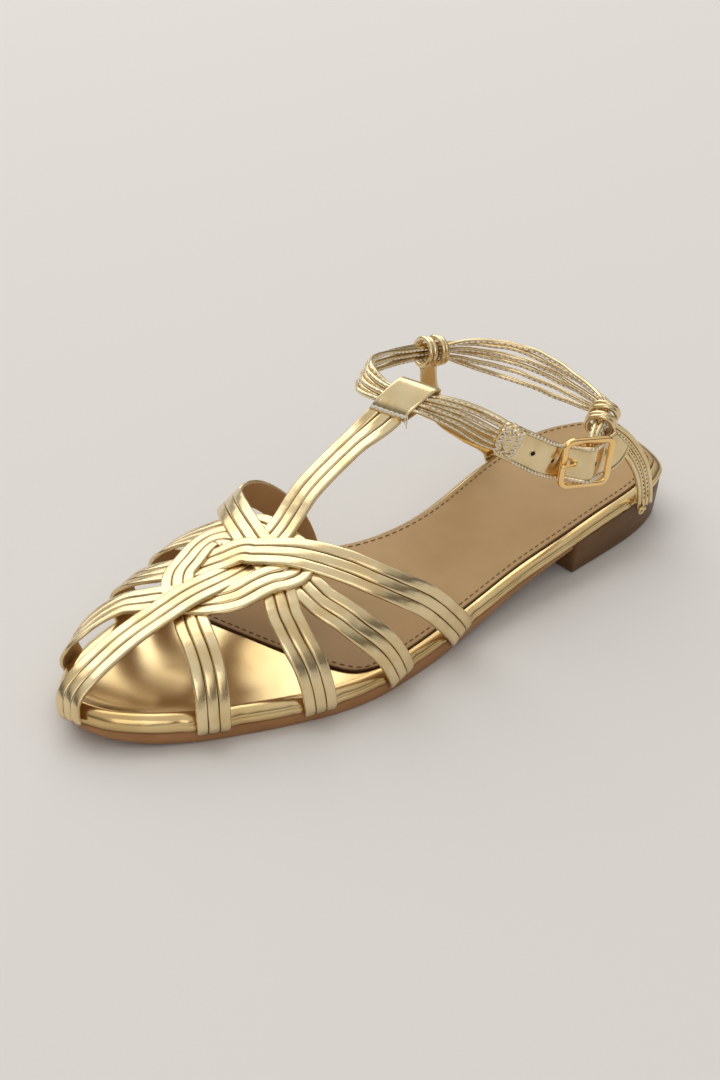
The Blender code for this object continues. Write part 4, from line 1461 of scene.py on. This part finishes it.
@dataclass
class Cords:
    """The six cords round the ankle, rolled foil tubes with stitched lines."""

    finishes: Finishes
    radius: float = 0.88
    flatness: float = 0.94
    count: int = 6
    # Wander of a loose cord across and in: size, length, step from cord to cord
    side_wander: tuple = (0.3, 53.0, 1.3)
    depth_wander: tuple = (0.7, 67.0, 2.1)
    loose_fan: float = 4.0
    sewing: Sewing = Sewing(0.27, 0.2, 1.5, 0.6)
    step: float = 0.8
    # Course of the cords: name, place, each cord's distance across, how far they stand in and
    # out by turns, direction across
    route: Sequence[tuple] = (
        ("gather", (21.6, 89.2, 61.5), (-4.6, -2.8, -0.9, 0.9, 2.8, 4.6), 0.0, (0, 0, 1)),
        ("front_gather", (16.5, 94.2, 64.8), (-5.4, -3.3, -1.1, 1.1, 3.3, 5.2), 0.0, (0, -0.2, 1)),
        ("front", (10.0, 101.0, 69.8), (-4.4, -2.7, -0.9, 0.9, 2.7, 4.4), 0.0, (0, -0.45, 0.89)),
        ("sleeve_lateral", (3.3, 110.1, 74.2), SLEEVED, 0.6, (0, -0.83, 0.56)),
        ("sleeve", (-2.7, 113.9, 75.0), SLEEVED, 0.6, (0, -0.83, 0.56)),
        ("sleeve_medial", (-8.9, 117.1, 76.0), SLEEVED, 0.6, (0, -0.83, 0.56)),
        ("bend_front", (-17.6, 117.2, 77.0), BENT, 0.3, (0.1, -0.6, 0.8)),
        ("bend_back", (-24.2, 110.8, 76.0), BENT, 0.3, (0.2, -0.3, 0.93)),
        ("medial_side", (-28.1, 99.5, 73.5), (-3.2, -2.3, -0.6, 0.6, 2.3, 3.2), 0.6, (0.15, 0, 1)),
        ("medial_near", (-29.8, 86.6, 70.8), KNOTTED, 0.95, (0.1, 0, 1)),
        ("medial_knot_start", (-30.4, 79.3, 68.8), KNOTTED, 0.95, (0.1, 0, 1)),
        ("medial_knot", (-30.0, 75.8, 68.2), KNOTTED, 0.95, (0.1, 0, 1)),
        ("medial_knot_end", (-29.3, 72.4, 67.6), KNOTTED, 0.95, (0.1, 0, 1)),
        ("back_medial", (-26.5, 63.0, 64.8), (-4.3, -2.3, -0.4, 1.4, 3.2, 4.4), 0.4, (0, 0, 1)),
        ("back_1", (-16.5, 50.5, 61.1), (-6.8, -3.3, -0.1, 1.8, 5.0, 6.8), 0.2, (0, 0, 1)),
        ("back_2", (-2.0, 43.5, 58.3), (-6.7, -3.3, -0.2, 1.8, 4.4, 6.6), 0.2, (0, 0, 1)),
        ("back_3", (13.0, 42.5, 57.2), (-4.9, -2.6, -0.6, 1.2, 3.0, 4.7), 0.4, (0, 0, 1)),
        ("back_lateral", (21.5, 44.4, 58.2), (-2.9, -1.9, -0.4, 0.6, 2.2, 3.0), 0.7, (0, 0, 1)),
        ("lateral_knot_start", (26.5, 48.5, 59.9), KNOTTED, 0.95, (0, 0, 1)),
        ("lateral_knot", (28.2, 51.6, 58.7), KNOTTED, 0.95, (0, 0, 1)),
        ("lateral_knot_end", (29.8, 54.7, 57.5), KNOTTED, 0.95, (0, 0, 1)),
        ("keeper", (31.4, 58.0, 54.6), (-3.0, -2.2, -0.6, 0.6, 2.2, 3.0), 0.6, (0, 0, 1)),
        ("keeper_end", (32.6, 60.4, 51.5), (-3.9, -2.4, -0.8, 0.8, 2.4, 3.9), 0.3, (0, 0, 1)),
    )

    def at(self, name: str) -> tuple[Points, Points]:
        """Place and travel direction of the cords' middle at a named row of the route.

        Args:
            name: name of the row.

        Returns:
            The place and the unit direction.
        """
        names = [row[0] for row in self.route]
        places = np.array([point(*row[1]) for row in self.route])
        k = names.index(name)
        before, after = places[max(k - 1, 0)], places[min(k + 1, len(places) - 1)]
        return places[k], unit(after - before)

    def paths(self) -> list[tuple[Points, Points]]:
        """Middle line of each cord and the direction of its stitched face.

        Returns:
            A path and its directions for each cord.
        """
        rows = [[*point(*place), *fan, deep, *heading(*across)]
                for _, place, fan, deep, across in self.route]
        rows = flowing(rows, self.step)
        middle, fan, deep = rows[:, :3], rows[:, 3:9], rows[:, 9:10]
        along = unit(np.gradient(middle, axis=0))
        across = unit(rows[:, 10:] - along * (rows[:, 10:] * along).sum(axis=1)[:, None])
        inner = np.cross(along, across)
        run = travelled(middle)
        loose = np.clip((fan[:, -1:] - self.loose_fan) / 2, 0, 1)
        (aside, wide, turn), (inside, long, twist) = self.side_wander, self.depth_wander
        paths = []
        for k in range(self.count):
            spread = fan[:, k:k + 1] + aside * loose * wander(run, wide, turn * k + 2)[:, None]
            depth = ((2 * (k % 2) - 1) * deep
                     + inside * loose * wander(run, long, twist * k)[:, None])
            paths.append((middle + across * spread + inner * depth, -inner))
        return paths

    def build(self) -> list[Piece]:
        """Makes the cords and their stitches.

        Returns:
            The new objects.
        """
        made, starts, ends, outs = [], [], [], []
        for k, (path, face) in enumerate(self.paths()):
            rings = carried(path, face, round_profile(self.radius, 12, self.flatness))
            cord = skin(f"ankle_cord_{k + 1}", rings, [self.finishes.foil])
            made.append(place_on(cord, Slot.STRAPS, "ankle_strap"))
            for out in (face, -face):
                line = np.column_stack([path + 0.9 * self.radius * out, out])
                one, other = stitch_run(line, self.sewing)
                starts.append(one[:, :3])
                ends.append(other[:, :3])
                outs.append(unit(one[:, 3:6]))
        dashes = stitches("cord_stitches", np.vstack(starts), np.vstack(ends), np.vstack(outs),
                          self.sewing, self.finishes.lurex)
        made.append(place_on(dashes, Slot.STRAPS))
        return made


@dataclass
class Sleeve:
    """End of the instep strap, folded back over the cords and sewn down on itself."""

    finishes: Finishes
    cords: Cords
    shear: float = 0.5
    width: float = 11.8
    wall: float = 1.2
    stations: tuple = (120.0, 135.0)
    # Loop round the cords: distance along the instep strap, out
    loop: Rows = ((-7.4, 0.9), (-5.4, 2.2), (-2.0, 3.0), (2.5, 3.2), (5.8, 2.5), (7.4, 0.2),
                  (5.8, -2.2), (2.5, -2.8), (-2.0, -2.7), (-5.4, -2.0), (-7.4, -0.9))
    tack_margin: float = 0.7
    # Rows of the bar tack: number of spots, near and far reach along the sleeve
    tack_rows: Rows = ((17, -6.0, -7.7), (14, -6.6, -7.3))
    sewing: Sewing = Sewing(0.36, 0.2)
    # Loose thread ends: distance beyond the tack, how low they hang
    thread_ends: Rows = ((0.3, -2.2), (0.9, -4.2))
    thread_radius: float = 0.2

    def axes(self) -> Axes:
        """Middle of the sleeve and its axes: along the instep strap, across it, out.

        Returns:
            The point and three unit directions.
        """
        middle, travel = self.cords.at("sleeve")
        top, before = LAST.surface(np.array(self.stations), np.zeros(2))
        along = unit(top - before)
        out = unit(np.cross(along, travel))
        return middle, along, np.cross(along, out), out

    def on_sleeve(self, rows: Rows) -> Points:
        """Shop points given as (along, across, out) distances on the skewed sleeve.

        Args:
            rows: rows of three distances, in any shape.

        Returns:
            Points of the same shape.
        """
        middle, along, across, out = self.axes()
        rows = np.asarray(rows, float)
        u, v, w = rows[..., 0:1], rows[..., 1:2], rows[..., 2:3]
        return middle + (u + self.shear * v) * along + v * across + w * out

    def make_sleeve(self) -> Piece:
        """The folded leather round the cords.

        Returns:
            The new object.
        """
        turn = flowing([(u, 0.0, w) for u, w in self.loop], 0.6, closed=True)
        ahead = np.roll(turn, -1, axis=0) - np.roll(turn, 1, axis=0)
        face = unit(np.stack([ahead[:, 2], 0 * ahead[:, 0], -ahead[:, 0]], axis=1))
        face *= np.sign((face * turn).sum(axis=1).mean())
        thick = self.wall / 2
        half = self.width / 2 * (0.96 + 0.006 * turn[:, 0])
        top = mirrored(((-1.0, 0.1), (-0.98, 0.42 * thick + 0.2), (-0.93, thick),
                        (-0.82, 0.92 * thick)), [(0.0, thick + 0.05)])
        foot = mirrored(((1.0, -0.35), (0.96, -thick)), [(0.0, -thick)])
        rings = [[(u + lift * out[0], share * side, w + lift * out[2])
                  for share, lift in top + foot] for (u, _, w), out, side in zip(turn, face, half)]
        bands = [0] * len(top) + [1] * (len(foot) - 1) + [0]
        sleeve = skin("strap_sleeve", self.on_sleeve(rings),
                      [self.finishes.foil, self.finishes.lining], loop=True, bands=bands)
        return place_on(sleeve, Slot.STRAPS, "upper")

    def make_bar_tack(self) -> list[Piece]:
        """Zigzag of stitches that closes the sleeve, with loose thread ends.

        Returns:
            The new objects.
        """
        half = self.width / 2 - self.tack_margin
        *_, out = self.axes()
        made = []
        for k, (count, near, far) in enumerate(self.tack_rows):
            odd = np.arange(count) % 2
            spots = self.on_sleeve(np.stack([np.where(odd, far, near),
                                             np.linspace(-half, half, count),
                                             np.where(odd, 1.25, 2.1) + 0.12 * k], axis=1))
            tack = stitches(f"sleeve_bar_tack_{k + 1}", spots[:-1], spots[1:], out, self.sewing,
                            self.finishes.lurex)
            made.append(place_on(tack, Slot.STRAPS))
        for k, (beyond, drop) in enumerate(self.thread_ends):
            side = half + beyond
            path = flowing(self.on_sleeve([(-6.2, side - 0.8, 2.0), (-7.2, side, 2.1),
                                           (-8.2, side + 0.4, 1.0 + 0.3 * drop),
                                           (-8.0 - 0.5 * k, side + 0.2, drop)]), 0.25)
            tail = tube(f"sleeve_thread_end_{k + 1}", path, self.thread_radius,
                        self.finishes.lurex, sides=7)
            made.append(place_on(tail, Slot.STRAPS))
        return made

    def build(self) -> list[Piece]:
        """Makes the sleeve and its sewing."""
        return [self.make_sleeve(), *self.make_bar_tack()]


@dataclass
class Tab:
    """Flat, punched end of the ankle strap, run through the buckle."""

    finishes: Finishes
    buckle_at: tuple = (35.2, 66.0, 50.3)
    buckle_along: tuple = (0.31, -0.94, -0.13)
    buckle_out: tuple = (0.95, 0.30, 0.05)
    width: float = 13.2
    start: Rows = ((20.2, 90.6, 61.6), (25.6, 84.6, 57.6), (29.2, 78.9, 53.8))
    # Course through the buckle: distance along it, out, up
    through: Rows = ((-9.3, -2.8), (-5.0, -0.6), (0.0, 2.3), (5.0, -0.6), (9.3, -2.9, 0.2),
                     (12.2, -3.3, 2.2), (15.2, -4.0, 5.4))
    # Directions of its face at the places of start
    faces: Rows = ((0.72, 0.69, 0), (0.85, 0.5, 0), (0.93, 0.35, 0))
    tip: float = 7.0
    tip_taper: float = 0.3
    # Half of the tab's top: distance in from its edge, height, painted shade (in the dip inside
    # the rolled edge)
    top: Rows = ((0, 0.1, 0), (0.2, 0.5, 0), (0.65, 0.72, 0), (1.15, 0.6, 0),
                 (1.45, 0.34, 0.6), (1.75, 0.4, 0.1), (2.6, 0.46, 0))
    middle: float = 0.5
    underside: Rows = ((0, -0.35), (0.3, -0.65))
    below: float = 0.7
    hole_places: tuple = (-16.5, -8.3, 0.0, 8.3, 17.8)
    # Rim and pit of a hole: radius, height
    hole_rim: Rows = ((1.25, 0.38), (1.18, 0.58), (1.0, 0.64), (0.88, 0.6), (0.82, 0.55),
                      (0.02, 0.54), (0.02, 0.3), (1.15, 0.3))
    # Stitches over the edge: first and last place along the tab, step
    stitch_reaches: tuple = (-21.0, 14.0, 1.25)
    # Where a stitch starts and ends: distance in from the edge, out, along
    stitch_start: tuple = (1.3, 0.5, 0.0)
    stitch_end: tuple = (0.1, 0.35, 0.5)
    sewing: Sewing = Sewing(0.26, 0.45)

    def buckle_axes(self) -> Axes:
        """Middle of the buckle and its axes: along the strap, across it, out of the ankle.

        Returns:
            The point and three unit directions.
        """
        along = heading(*self.buckle_along)
        out = heading(*self.buckle_out)
        out = unit(out - along * np.dot(out, along))
        return point(*self.buckle_at), along, np.cross(out, along), out

    def in_buckle(self, rows: Rows) -> list[Points]:
        """Points given as distance along the strap, out and maybe up, at the buckle."""
        middle, along, up, out = self.buckle_axes()
        return [middle + u * along + w * out + sum(rise) * up for u, w, *rise in rows]

    def rows(self) -> Points:
        """Middle line of the punched tab with the direction of its face.

        Returns:
            Rows of a point and a direction.
        """
        *_, out = self.buckle_axes()
        path = [point(*row) for row in self.start] + self.in_buckle(self.through)
        faces = [heading(*row) for row in self.faces] + [out] * len(self.through)
        return flowing(np.column_stack([path, faces]), 0.6)

    def make_tab(self) -> Piece:
        """The flat leather with its rolled edges.

        Returns:
            The new object.
        """
        rows, half = self.rows(), self.width / 2
        # The third column is painted shade in the dip inside each rolled edge
        top = mirrored([(inset - half, out, dark) for inset, out, dark in self.top],
                       [(0, self.middle, 0)])
        foot = mirrored([(half - inset, out, 0) for inset, out in self.underside],
                        [(0, -self.below, 0)])
        section = np.array(top + foot)
        bands = [0] * (len(top) + 1) + [1, 1, 0, 0]
        run = travelled(rows[:, :3])
        near_tip = np.clip((run - run[-1] + self.tip) / self.tip, 0, 1)
        profiles = np.repeat(section[None, :, :2], len(rows), axis=0)
        profiles[..., 0] *= (1 - self.tip_taper * near_tip**1.5)[:, None]
        rings = carried(rows[:, :3], rows[:, 3:6], profiles)
        tab = skin("ankle_tab", rings, [self.finishes.foil, self.finishes.lining], bands=bands,
                   groove=section[:, 2])
        return place_on(tab, Slot.STRAPS, "ankle_strap")

    def place(self, reach: float) -> Axes:
        """Point of the tab at a distance past the prong's hole, and its axes there.

        Args:
            reach: distance along the tab, less than 0 towards the cords.

        Returns:
            The point, and the directions along, across and out.
        """
        rows = self.rows()
        hole = self.in_buckle(self.through[1:2])[0]
        zero = travelled(rows)[np.argmin(np.linalg.norm(rows[:, :3] - hole, axis=1))]
        before, here, after = read_at(rows, zero + reach + np.array([-0.5, 0.0, 0.5]))
        along = unit(after[:3] - before[:3])
        across = unit(np.cross(along, here[3:6]))
        return here[:3], along, across, np.cross(across, along)

    def make_holes(self) -> list[Piece]:
        """Punched holes down the tab's middle, each a turned-in rim round a shallow pit whose dark
        floor is painted shade where the hole goes through.

        Returns:
            The new objects.
        """
        made = []
        turns = full_turn(24)[:, None]
        radius, height = np.array(self.hole_rim).T[:, None, :, None]
        for k, reach in enumerate(self.hole_places):
            middle, along, across, out = self.place(reach)
            rings = middle + height * out + radius * round_about(turns, along, across)
            # The pit's floor takes the dark finish: painted shade in place of an open hole
            hole = skin(f"tab_hole_{k + 1}", rings, [self.finishes.foil, self.finishes.void],
                        loop=True, bands=[0, 0, 0, 0, 1, 1, 0, 0])
            made.append(place_on(hole, Slot.STRAPS))
        return made

    def make_stitches(self) -> Piece:
        """Bright stitches over the tab's rolled edges.

        Returns:
            The new object.
        """
        starts, ends, outs = [], [], []
        for reach in np.arange(*self.stitch_reaches):
            middle, along, across, out = self.place(reach)
            for side in (-1, 1):
                for spots, (inset, high, slant) in ((starts, self.stitch_start),
                                                    (ends, self.stitch_end)):
                    spots.append(middle + side * (self.width / 2 - inset) * across + high * out
                                 + slant * along)
                outs.append(out)
        piece = stitches("tab_stitches", np.array(starts), np.array(ends), np.array(outs),
                         self.sewing, self.finishes.lurex)
        return place_on(piece, Slot.STRAPS)

    def build(self) -> list[Piece]:
        """Makes the tab, its holes and its stitches."""
        return [self.make_tab(), *self.make_holes(), self.make_stitches()]


@dataclass
class Gather:
    """Crumpled foil, sewn over and over, where the cords run into the tab."""

    finishes: Finishes
    cords: Cords
    facing: tuple = (0.72, 0.69, 0)
    span: tuple = (-3.6, 4.6)
    rings: int = 44
    width: float = 6.1
    thickness: float = 1.75
    # Share that its ends are pulled in by, and powers that square its section
    pull: float = 0.2
    squareness: tuple = (0.6, 0.8)
    # Crumples: size, number round the gather, waves along it
    crumples: Rows = ((0.09, 4, 1.9), (0.07, 9, -2.6), (0.05, 14, 2.1))
    # Zigzag rows over the gather: place along it, number of spots
    rows: Rows = ((-2.4, 13), (0.4, 11), (3.0, 13))
    row_reach: float = 5.4
    zigzag: float = 0.9
    sewing: Sewing = Sewing(0.26, 0.35)

    def ring(self, share: float, reach: float) -> Points:
        """(across, out) corners of the crumpled gather.

        Args:
            share: how far along the gather, 0 to 1.
            reach: the same as a distance from its middle.

        Returns:
            One ring of corners.
        """
        turns = full_turn(72)
        draw = 1 - self.pull + self.pull * math.sin(math.pi * share) ** 0.4
        crumple = 1 + sum(size * np.sin(around * turns + along * reach)
                          for size, around, along in self.crumples)
        flat = powered(np.cos(turns), self.squareness[0])
        thick = powered(np.sin(turns), self.squareness[1])
        return np.stack([self.width * draw * (0.9 + 0.1 * crumple) * flat,
                         self.thickness * draw * crumple * thick], axis=1)

    def build(self) -> list[Piece]:
        """Makes the wrap and its zigzag stitches.

        Returns:
            The new objects.
        """
        at, travel = self.cords.at("gather")
        across = unit(np.cross(travel, heading(*self.facing)))
        face = np.cross(across, travel)
        rings = []
        for share in np.linspace(0, 1, self.rings):
            reach = self.span[0] + share * (self.span[1] - self.span[0])
            ring = self.ring(share, reach)
            rings.append(at + reach * travel + ring[:, :1] * across + ring[:, 1:] * face)
        wrap = skin("gather_wrap", np.array(rings), [self.finishes.foil])
        made = [place_on(wrap, Slot.STRAPS, "ankle_strap")]
        for k, (reach, count) in enumerate(self.rows):
            places = reach + np.where(np.arange(count) % 2, self.zigzag, -self.zigzag)
            sides = np.linspace(-self.row_reach, self.row_reach, count)
            spots = (at + places[:, None] * travel + sides[:, None] * across
                     + self.thickness * face)
            sewn = stitches(f"gather_stitches_{k + 1}", spots[:-1], spots[1:], face, self.sewing,
                            self.finishes.lurex)
            made.append(place_on(sewn, Slot.STRAPS))
        return made


@dataclass
class HeelStraps:
    """Straps from the heel seat's edge up to their turns round the cords."""

    finishes: Finishes
    cords: Cords
    knot_radius: float = 4.6
    knot_spread: float = 2.6
    # Ribs of one turn round the cords: place beside its middle, share of the radius
    knot_ribs: Rows = ((-0.85, 1.0), (0.85, 0.95))
    strap: RibbedStrap = field(default_factory=lambda: RibbedStrap(
        width=7.4, ribs=4, crown=0.8, valley=0.2, corners=9))
    # Two lines of stitches: distance from the strap's middle, out
    stitch_aside: float = 0.9
    stitch_out: float = 0.72
    sewing: Sewing = Sewing(0.17, 0.2, 1.3, 0.7)
    # Curled loose end: start beside the outer strap's foot, turns, first size, shrink each half
    # turn, thickness
    curl_at: tuple = (1.3, 2.6, -0.6)
    curl_turns: float = 1.3
    curl_size: float = 1.5
    curl_shrink: float = 0.35
    curl_radius: float = 0.5
    # Courses from the heel seat's edge up to the knots
    courses: dict[Side, Rows] = field(default_factory=lambda: {
        Side.LATERAL: ((30.4, 27.0, 15.2), (30.6, 27.8, 21.5), (31.0, 31.5, 32.0),
                       (30.6, 38.5, 43.0), (29.3, 45.5, 50.5)),
        Side.MEDIAL: ((-26.9, 44.5, 14.9), (-27.2, 46.5, 20.5), (-29.0, 57.0, 29.5),
                      (-30.4, 69.0, 41.0), (-30.6, 75.0, 53.0)),
    })

    def knot_axes(self, side: Side) -> Axes:
        """Middle of a knot and its axes: along the cords, across them, up.

        Args:
            side: side of the foot.

        Returns:
            The point and three unit directions.
        """
        at, travel = self.cords.at(f"{side.word}_knot")
        across = unit(np.cross(travel, UP))
        return at, travel, across, np.cross(across, travel)

    def make_knots(self) -> list[Piece]:
        """Turns of the heel straps' ribs round the cords.

        Returns:
            The new objects.
        """
        made = []
        turns = full_turn(56)
        for side in Side:
            at, travel, across, rise = self.knot_axes(side)
            for k, shift in enumerate((-self.knot_spread, self.knot_spread)):
                for j, (slip, size) in enumerate(self.knot_ribs):
                    lean = 0.5 * np.sin(turns + 1.1 * k + j)[:, None]
                    ring = (at + (shift + slip + lean) * travel
                            + self.knot_radius * size * round_about(turns, across, rise))
                    piece = tube(f"{side.word}_turn_{2 * k + j + 1}", ring, self.cords.radius,
                                 self.finishes.foil, loop=True, first=travel)
                    made.append(place_on(piece, Slot.STRAPS, f"heel_strap_{side.word}"))
        return made

    def make_straps(self) -> list[Piece]:
        """Straps from the heel seat's edge up to the knots.

        Returns:
            The new objects.
        """
        made = []
        for side, rows in self.courses.items():
            at, _, _, rise = self.knot_axes(side)
            foot = at - (self.knot_radius + 0.2) * rise
            middle = flowing([point(*row) for row in rows] + [foot], self.cords.step)
            face = heading(side.value, 0.05, 0.12)
            out = np.tile(face, (len(middle), 1))
            name = f"heel_strap_{side.word}"
            piece = self.strap.build(name + "_ribs", middle, out, 5.0 + side.value,
                                     [self.finishes.foil, self.finishes.foil])
            made.append(place_on(piece, Slot.STRAPS, name))
            across = unit(np.cross(np.gradient(middle, axis=0), out))
            lines = [stitch_run((middle + shift * across + self.stitch_out * out)[4:-4],
                                self.sewing) for shift in (-self.stitch_aside, self.stitch_aside)]
            starts, ends = (np.vstack(halves) for halves in zip(*lines))
            sewn = stitches(name + "_stitches", starts, ends, face, self.sewing,
                            self.finishes.thread)
            made.append(place_on(sewn, Slot.STRAPS))
        return made

    def make_curled_end(self) -> Piece:
        """Loose end of a rib, curled beside the foot of the outer heel strap.

        Returns:
            The new object.
        """
        turns = np.linspace(0, 2 * math.pi * self.curl_turns, 40)
        start = point(*self.courses[Side.LATERAL][0]) + point(*self.curl_at)
        size = self.curl_size - self.curl_shrink * turns[:, None] / math.pi
        curl = start + size * round_about(turns, np.array([0.1, 1.0, 0.0]),
                                          np.array([0.2, 0.0, 1.0]))
        end = tube("heel_strap_curled_end", curl, self.curl_radius, self.finishes.foil)
        return place_on(end, Slot.STRAPS)

    def build(self) -> list[Piece]:
        """Makes the knots, the straps and one's loose end."""
        return [*self.make_knots(), *self.make_straps(), self.make_curled_end()]


# ---------------------------------------------------------------- buckle


@dataclass
class Buckle:
    """Wire buckle on the tab."""

    finishes: Finishes
    tab: Tab
    length: float = 19.8
    height: float = 18.4
    wire: float = 1.1
    corner: float = 2.6
    frame_radii: tuple = (1.15, 0.95)
    frame_squareness: float = 0.8
    bar_wire: float = 0.8
    # Half of the bar: distance in from its end, how far it lies back
    bar_end: Rows = ((0, 0), (1.0, 0.8), (2.2, 1.4))
    prong_wire: float = 0.6
    prong_swell: float = 1.15
    prong_gap: float = 0.35
    prong_at: float = -5.0
    # Shares of its thickness that the prong keeps over its last points
    prong_tip: tuple = (0.98, 0.94, 0.88, 0.78, 0.6, 0.3)

    def make_frame(self) -> Piece:
        """Rounded square of slightly flattened wire.

        Returns:
            The new object.
        """
        middle, along, up, out = self.tab.buckle_axes()
        half_length = self.length / 2 - self.wire - self.corner
        half_height = self.height / 2 - self.wire - self.corner
        path = []
        for sx, sy, start in ((1, 1, 0), (-1, 1, 90), (-1, -1, 180), (1, -1, 270)):
            for turn in np.linspace(start, start + 90, 12):
                a = math.radians(turn)
                path.append(middle + (sx * half_length + self.corner * math.cos(a)) * along
                            + (sy * half_height + self.corner * math.sin(a)) * up)
        path = spaced(np.vstack([path, path[:1]]), 0.5, closed=True)
        turns = full_turn(20)
        profile = np.stack([np.cos(turns), -np.sin(turns)], axis=1)
        profile = powered(profile, self.frame_squareness) * self.frame_radii
        rings = carried(path, np.tile(out, (len(path), 1)), profile, loop=True)
        piece = skin("buckle_frame_wire", rings, [self.finishes.buckle], loop=True)
        return place_on(piece, Slot.BUCKLE, "buckle_frame")

    def make_bar(self) -> Piece:
        """Bar across the frame's middle.

        Returns:
            The new object.
        """
        middle, _, up, out = self.tab.buckle_axes()
        reach = self.height / 2 - self.wire
        rows = mirrored([(inset - reach, back) for inset, back in self.bar_end], [])
        path = spaced(np.array([middle + v * up - back * out for v, back in rows]), 0.5)
        return place_on(tube("buckle_bar", path, self.bar_wire, self.finishes.buckle,
                             first=out), Slot.BUCKLE, "buckle_frame")

    def make_prong(self) -> Piece:
        """Prong up through its hole and over the frame.

        Returns:
            The new object.
        """
        top = self.wire + self.prong_gap + self.prong_wire
        route = [(1.6, -1.6), (0.6, -2.9), (-1.2, -3.0), (-3.2, -3.0), (self.prong_at + 0.4, -2.6),
                 (self.prong_at, -1.6), (self.prong_at, 0.9), (self.prong_at - 0.5, 1.7),
                 (self.prong_at - 1.8, top - 0.1), (-self.length / 2 - 0.6, top - 0.3)]
        path = flowing(self.tab.in_buckle(route), 0.3)
        size = np.full(len(path), self.prong_wire * self.prong_swell)
        size[-len(self.prong_tip):] *= self.prong_tip
        _, _, up, _ = self.tab.buckle_axes()
        return place_on(tube("buckle_prong_wire", path, size, self.finishes.buckle, first=up),
                        Slot.BUCKLE, "buckle_prong")

    def build(self) -> list[Piece]:
        """Makes the buckle."""
        return [self.make_frame(), self.make_bar(), self.make_prong()]


# ---------------------------------------------------------------- studio


@dataclass
class Studio:
    """Pale floor, soft light and the camera."""

    lens: float = 70.0
    camera_at: tuple = (419.76, -524.20, 409.37)
    look_at: tuple = (-6.4, -128.3, 25.0)
    azimuth: float = 50.05
    elevation: float = 32.04
    floor_reach: float = 30.0
    floor_colour: Colour = (0.72, 0.705, 0.68)
    light_colour: Colour = (1.0, 0.98, 0.955)
    # Lamps: name, place in metres, side of its square, watts
    lamps: Sequence[tuple] = (("key_light", (-1.6, 0.5, 1.9), 3.2, 46.0),
                              ("fill_light", (1.8, -1.6, 1.4), 1.6, 10.0))
    world_strength: float = 0.75
    # Colours of the surroundings from below to above
    world_stops: tuple = ((0.0, (0.78, 0.77, 0.74)), (0.1, (0.7, 0.69, 0.66)),
                          (0.15, (0.10, 0.09, 0.08)), (0.3, (0.16, 0.14, 0.12)),
                          (0.6, (0.8, 0.78, 0.75)), (1.0, (1.0, 0.98, 0.95)))

    def make_floor(self) -> None:
        """Large pale floor."""
        mesh = bpy.data.meshes.new("studio_floor")
        far = self.floor_reach
        corners = [(-far, -far, 0), (far, -far, 0), (far, far, 0), (-far, far, 0)]
        mesh.from_pydata(corners, [], [(0, 1, 2, 3)])
        mesh.materials.append(Nodes.of_material("studio_floor").finish(
            Base_Color=self.floor_colour, Roughness=0.9, Specular_IOR_Level=0.1))
        shown("studio_floor", mesh)

    def make_light(self, name: str, place: tuple, size: float, power: float) -> None:
        """Square area light that looks at the sandal.

        Args:
            name: name of the light.
            place: where it is, in metres.
            size: side of its square.
            power: power in watts.
        """
        lamp = bpy.data.lights.new(name, "AREA")
        lamp.size, lamp.energy, lamp.color = size, power, self.light_colour
        thing = bpy.data.objects.new(name, lamp)
        thing.location = place
        thing.rotation_mode = "QUATERNION"
        thing.rotation_quaternion = (-Vector(place)).to_track_quat("-Z", "Y")
        bpy.context.scene.collection.objects.link(thing)

    def make_world(self) -> None:
        """Slightly warm surroundings, dark just above the horizon's height."""
        world = bpy.data.worlds.new("studio_world")
        bpy.context.scene.world = world
        nodes = Nodes(world, "Background")
        split = nodes.add("ShaderNodeSeparateXYZ", {},
                          {0: nodes.add("ShaderNodeTexCoord").outputs["Generated"]})
        ramp = nodes.add("ShaderNodeValToRGB", {"stops": self.world_stops},
                         {0: split.outputs["Z"]})
        nodes.finish(Color=ramp.outputs[0], Strength=self.world_strength)

    def make_camera(self) -> None:
        """Camera at the angle that shows the outer side from the front."""
        data = bpy.data.cameras.new("studio_camera")
        data.lens, data.sensor_width = self.lens, 36.0
        data.clip_start, data.clip_end = 0.01, 20.0
        camera = bpy.data.objects.new("studio_camera", data)
        a, e = math.radians(self.azimuth), math.radians(self.elevation)
        back = Vector((math.sin(a) * math.cos(e), -math.cos(a) * math.cos(e), math.sin(e)))
        camera.location = LAST.world(np.array(self.camera_at))
        camera.rotation_mode = "QUATERNION"
        aim = Vector(LAST.world(np.array(self.look_at))) - camera.location
        level = (-back).to_track_quat("-Z", "Y")
        camera.rotation_quaternion = (-back).rotation_difference(aim) @ level
        bpy.context.scene.collection.objects.link(camera)
        bpy.context.scene.camera = camera

    def build(self) -> None:
        """Makes the studio."""
        bpy.context.scene.view_settings.view_transform = "Standard"
        self.make_floor()
        self.make_world()
        for lamp in self.lamps:
            self.make_light(*lamp)
        self.make_camera()


def main() -> None:
    """Builds the sandal and its studio."""
    logging.basicConfig(level=logging.INFO, format="%(message)s")
    finishes = Finishes()
    cords, tab = Cords(finishes), Tab(finishes)
    assemblies = {"sole": Sole(finishes), "weave": Weave(finishes), "cords": cords,
                  "sleeve": Sleeve(finishes, cords), "tab": tab,
                  "gather": Gather(finishes, cords), "heel straps": HeelStraps(finishes, cords),
                  "buckle": Buckle(finishes, tab)}
    for name, assembly in assemblies.items():
        for piece in assembly.build():
            LOG.info("%s: %s, %d faces", name, piece.name, len(piece.data.polygons))
    Studio().build()


if __name__ == "__main__":
    main()
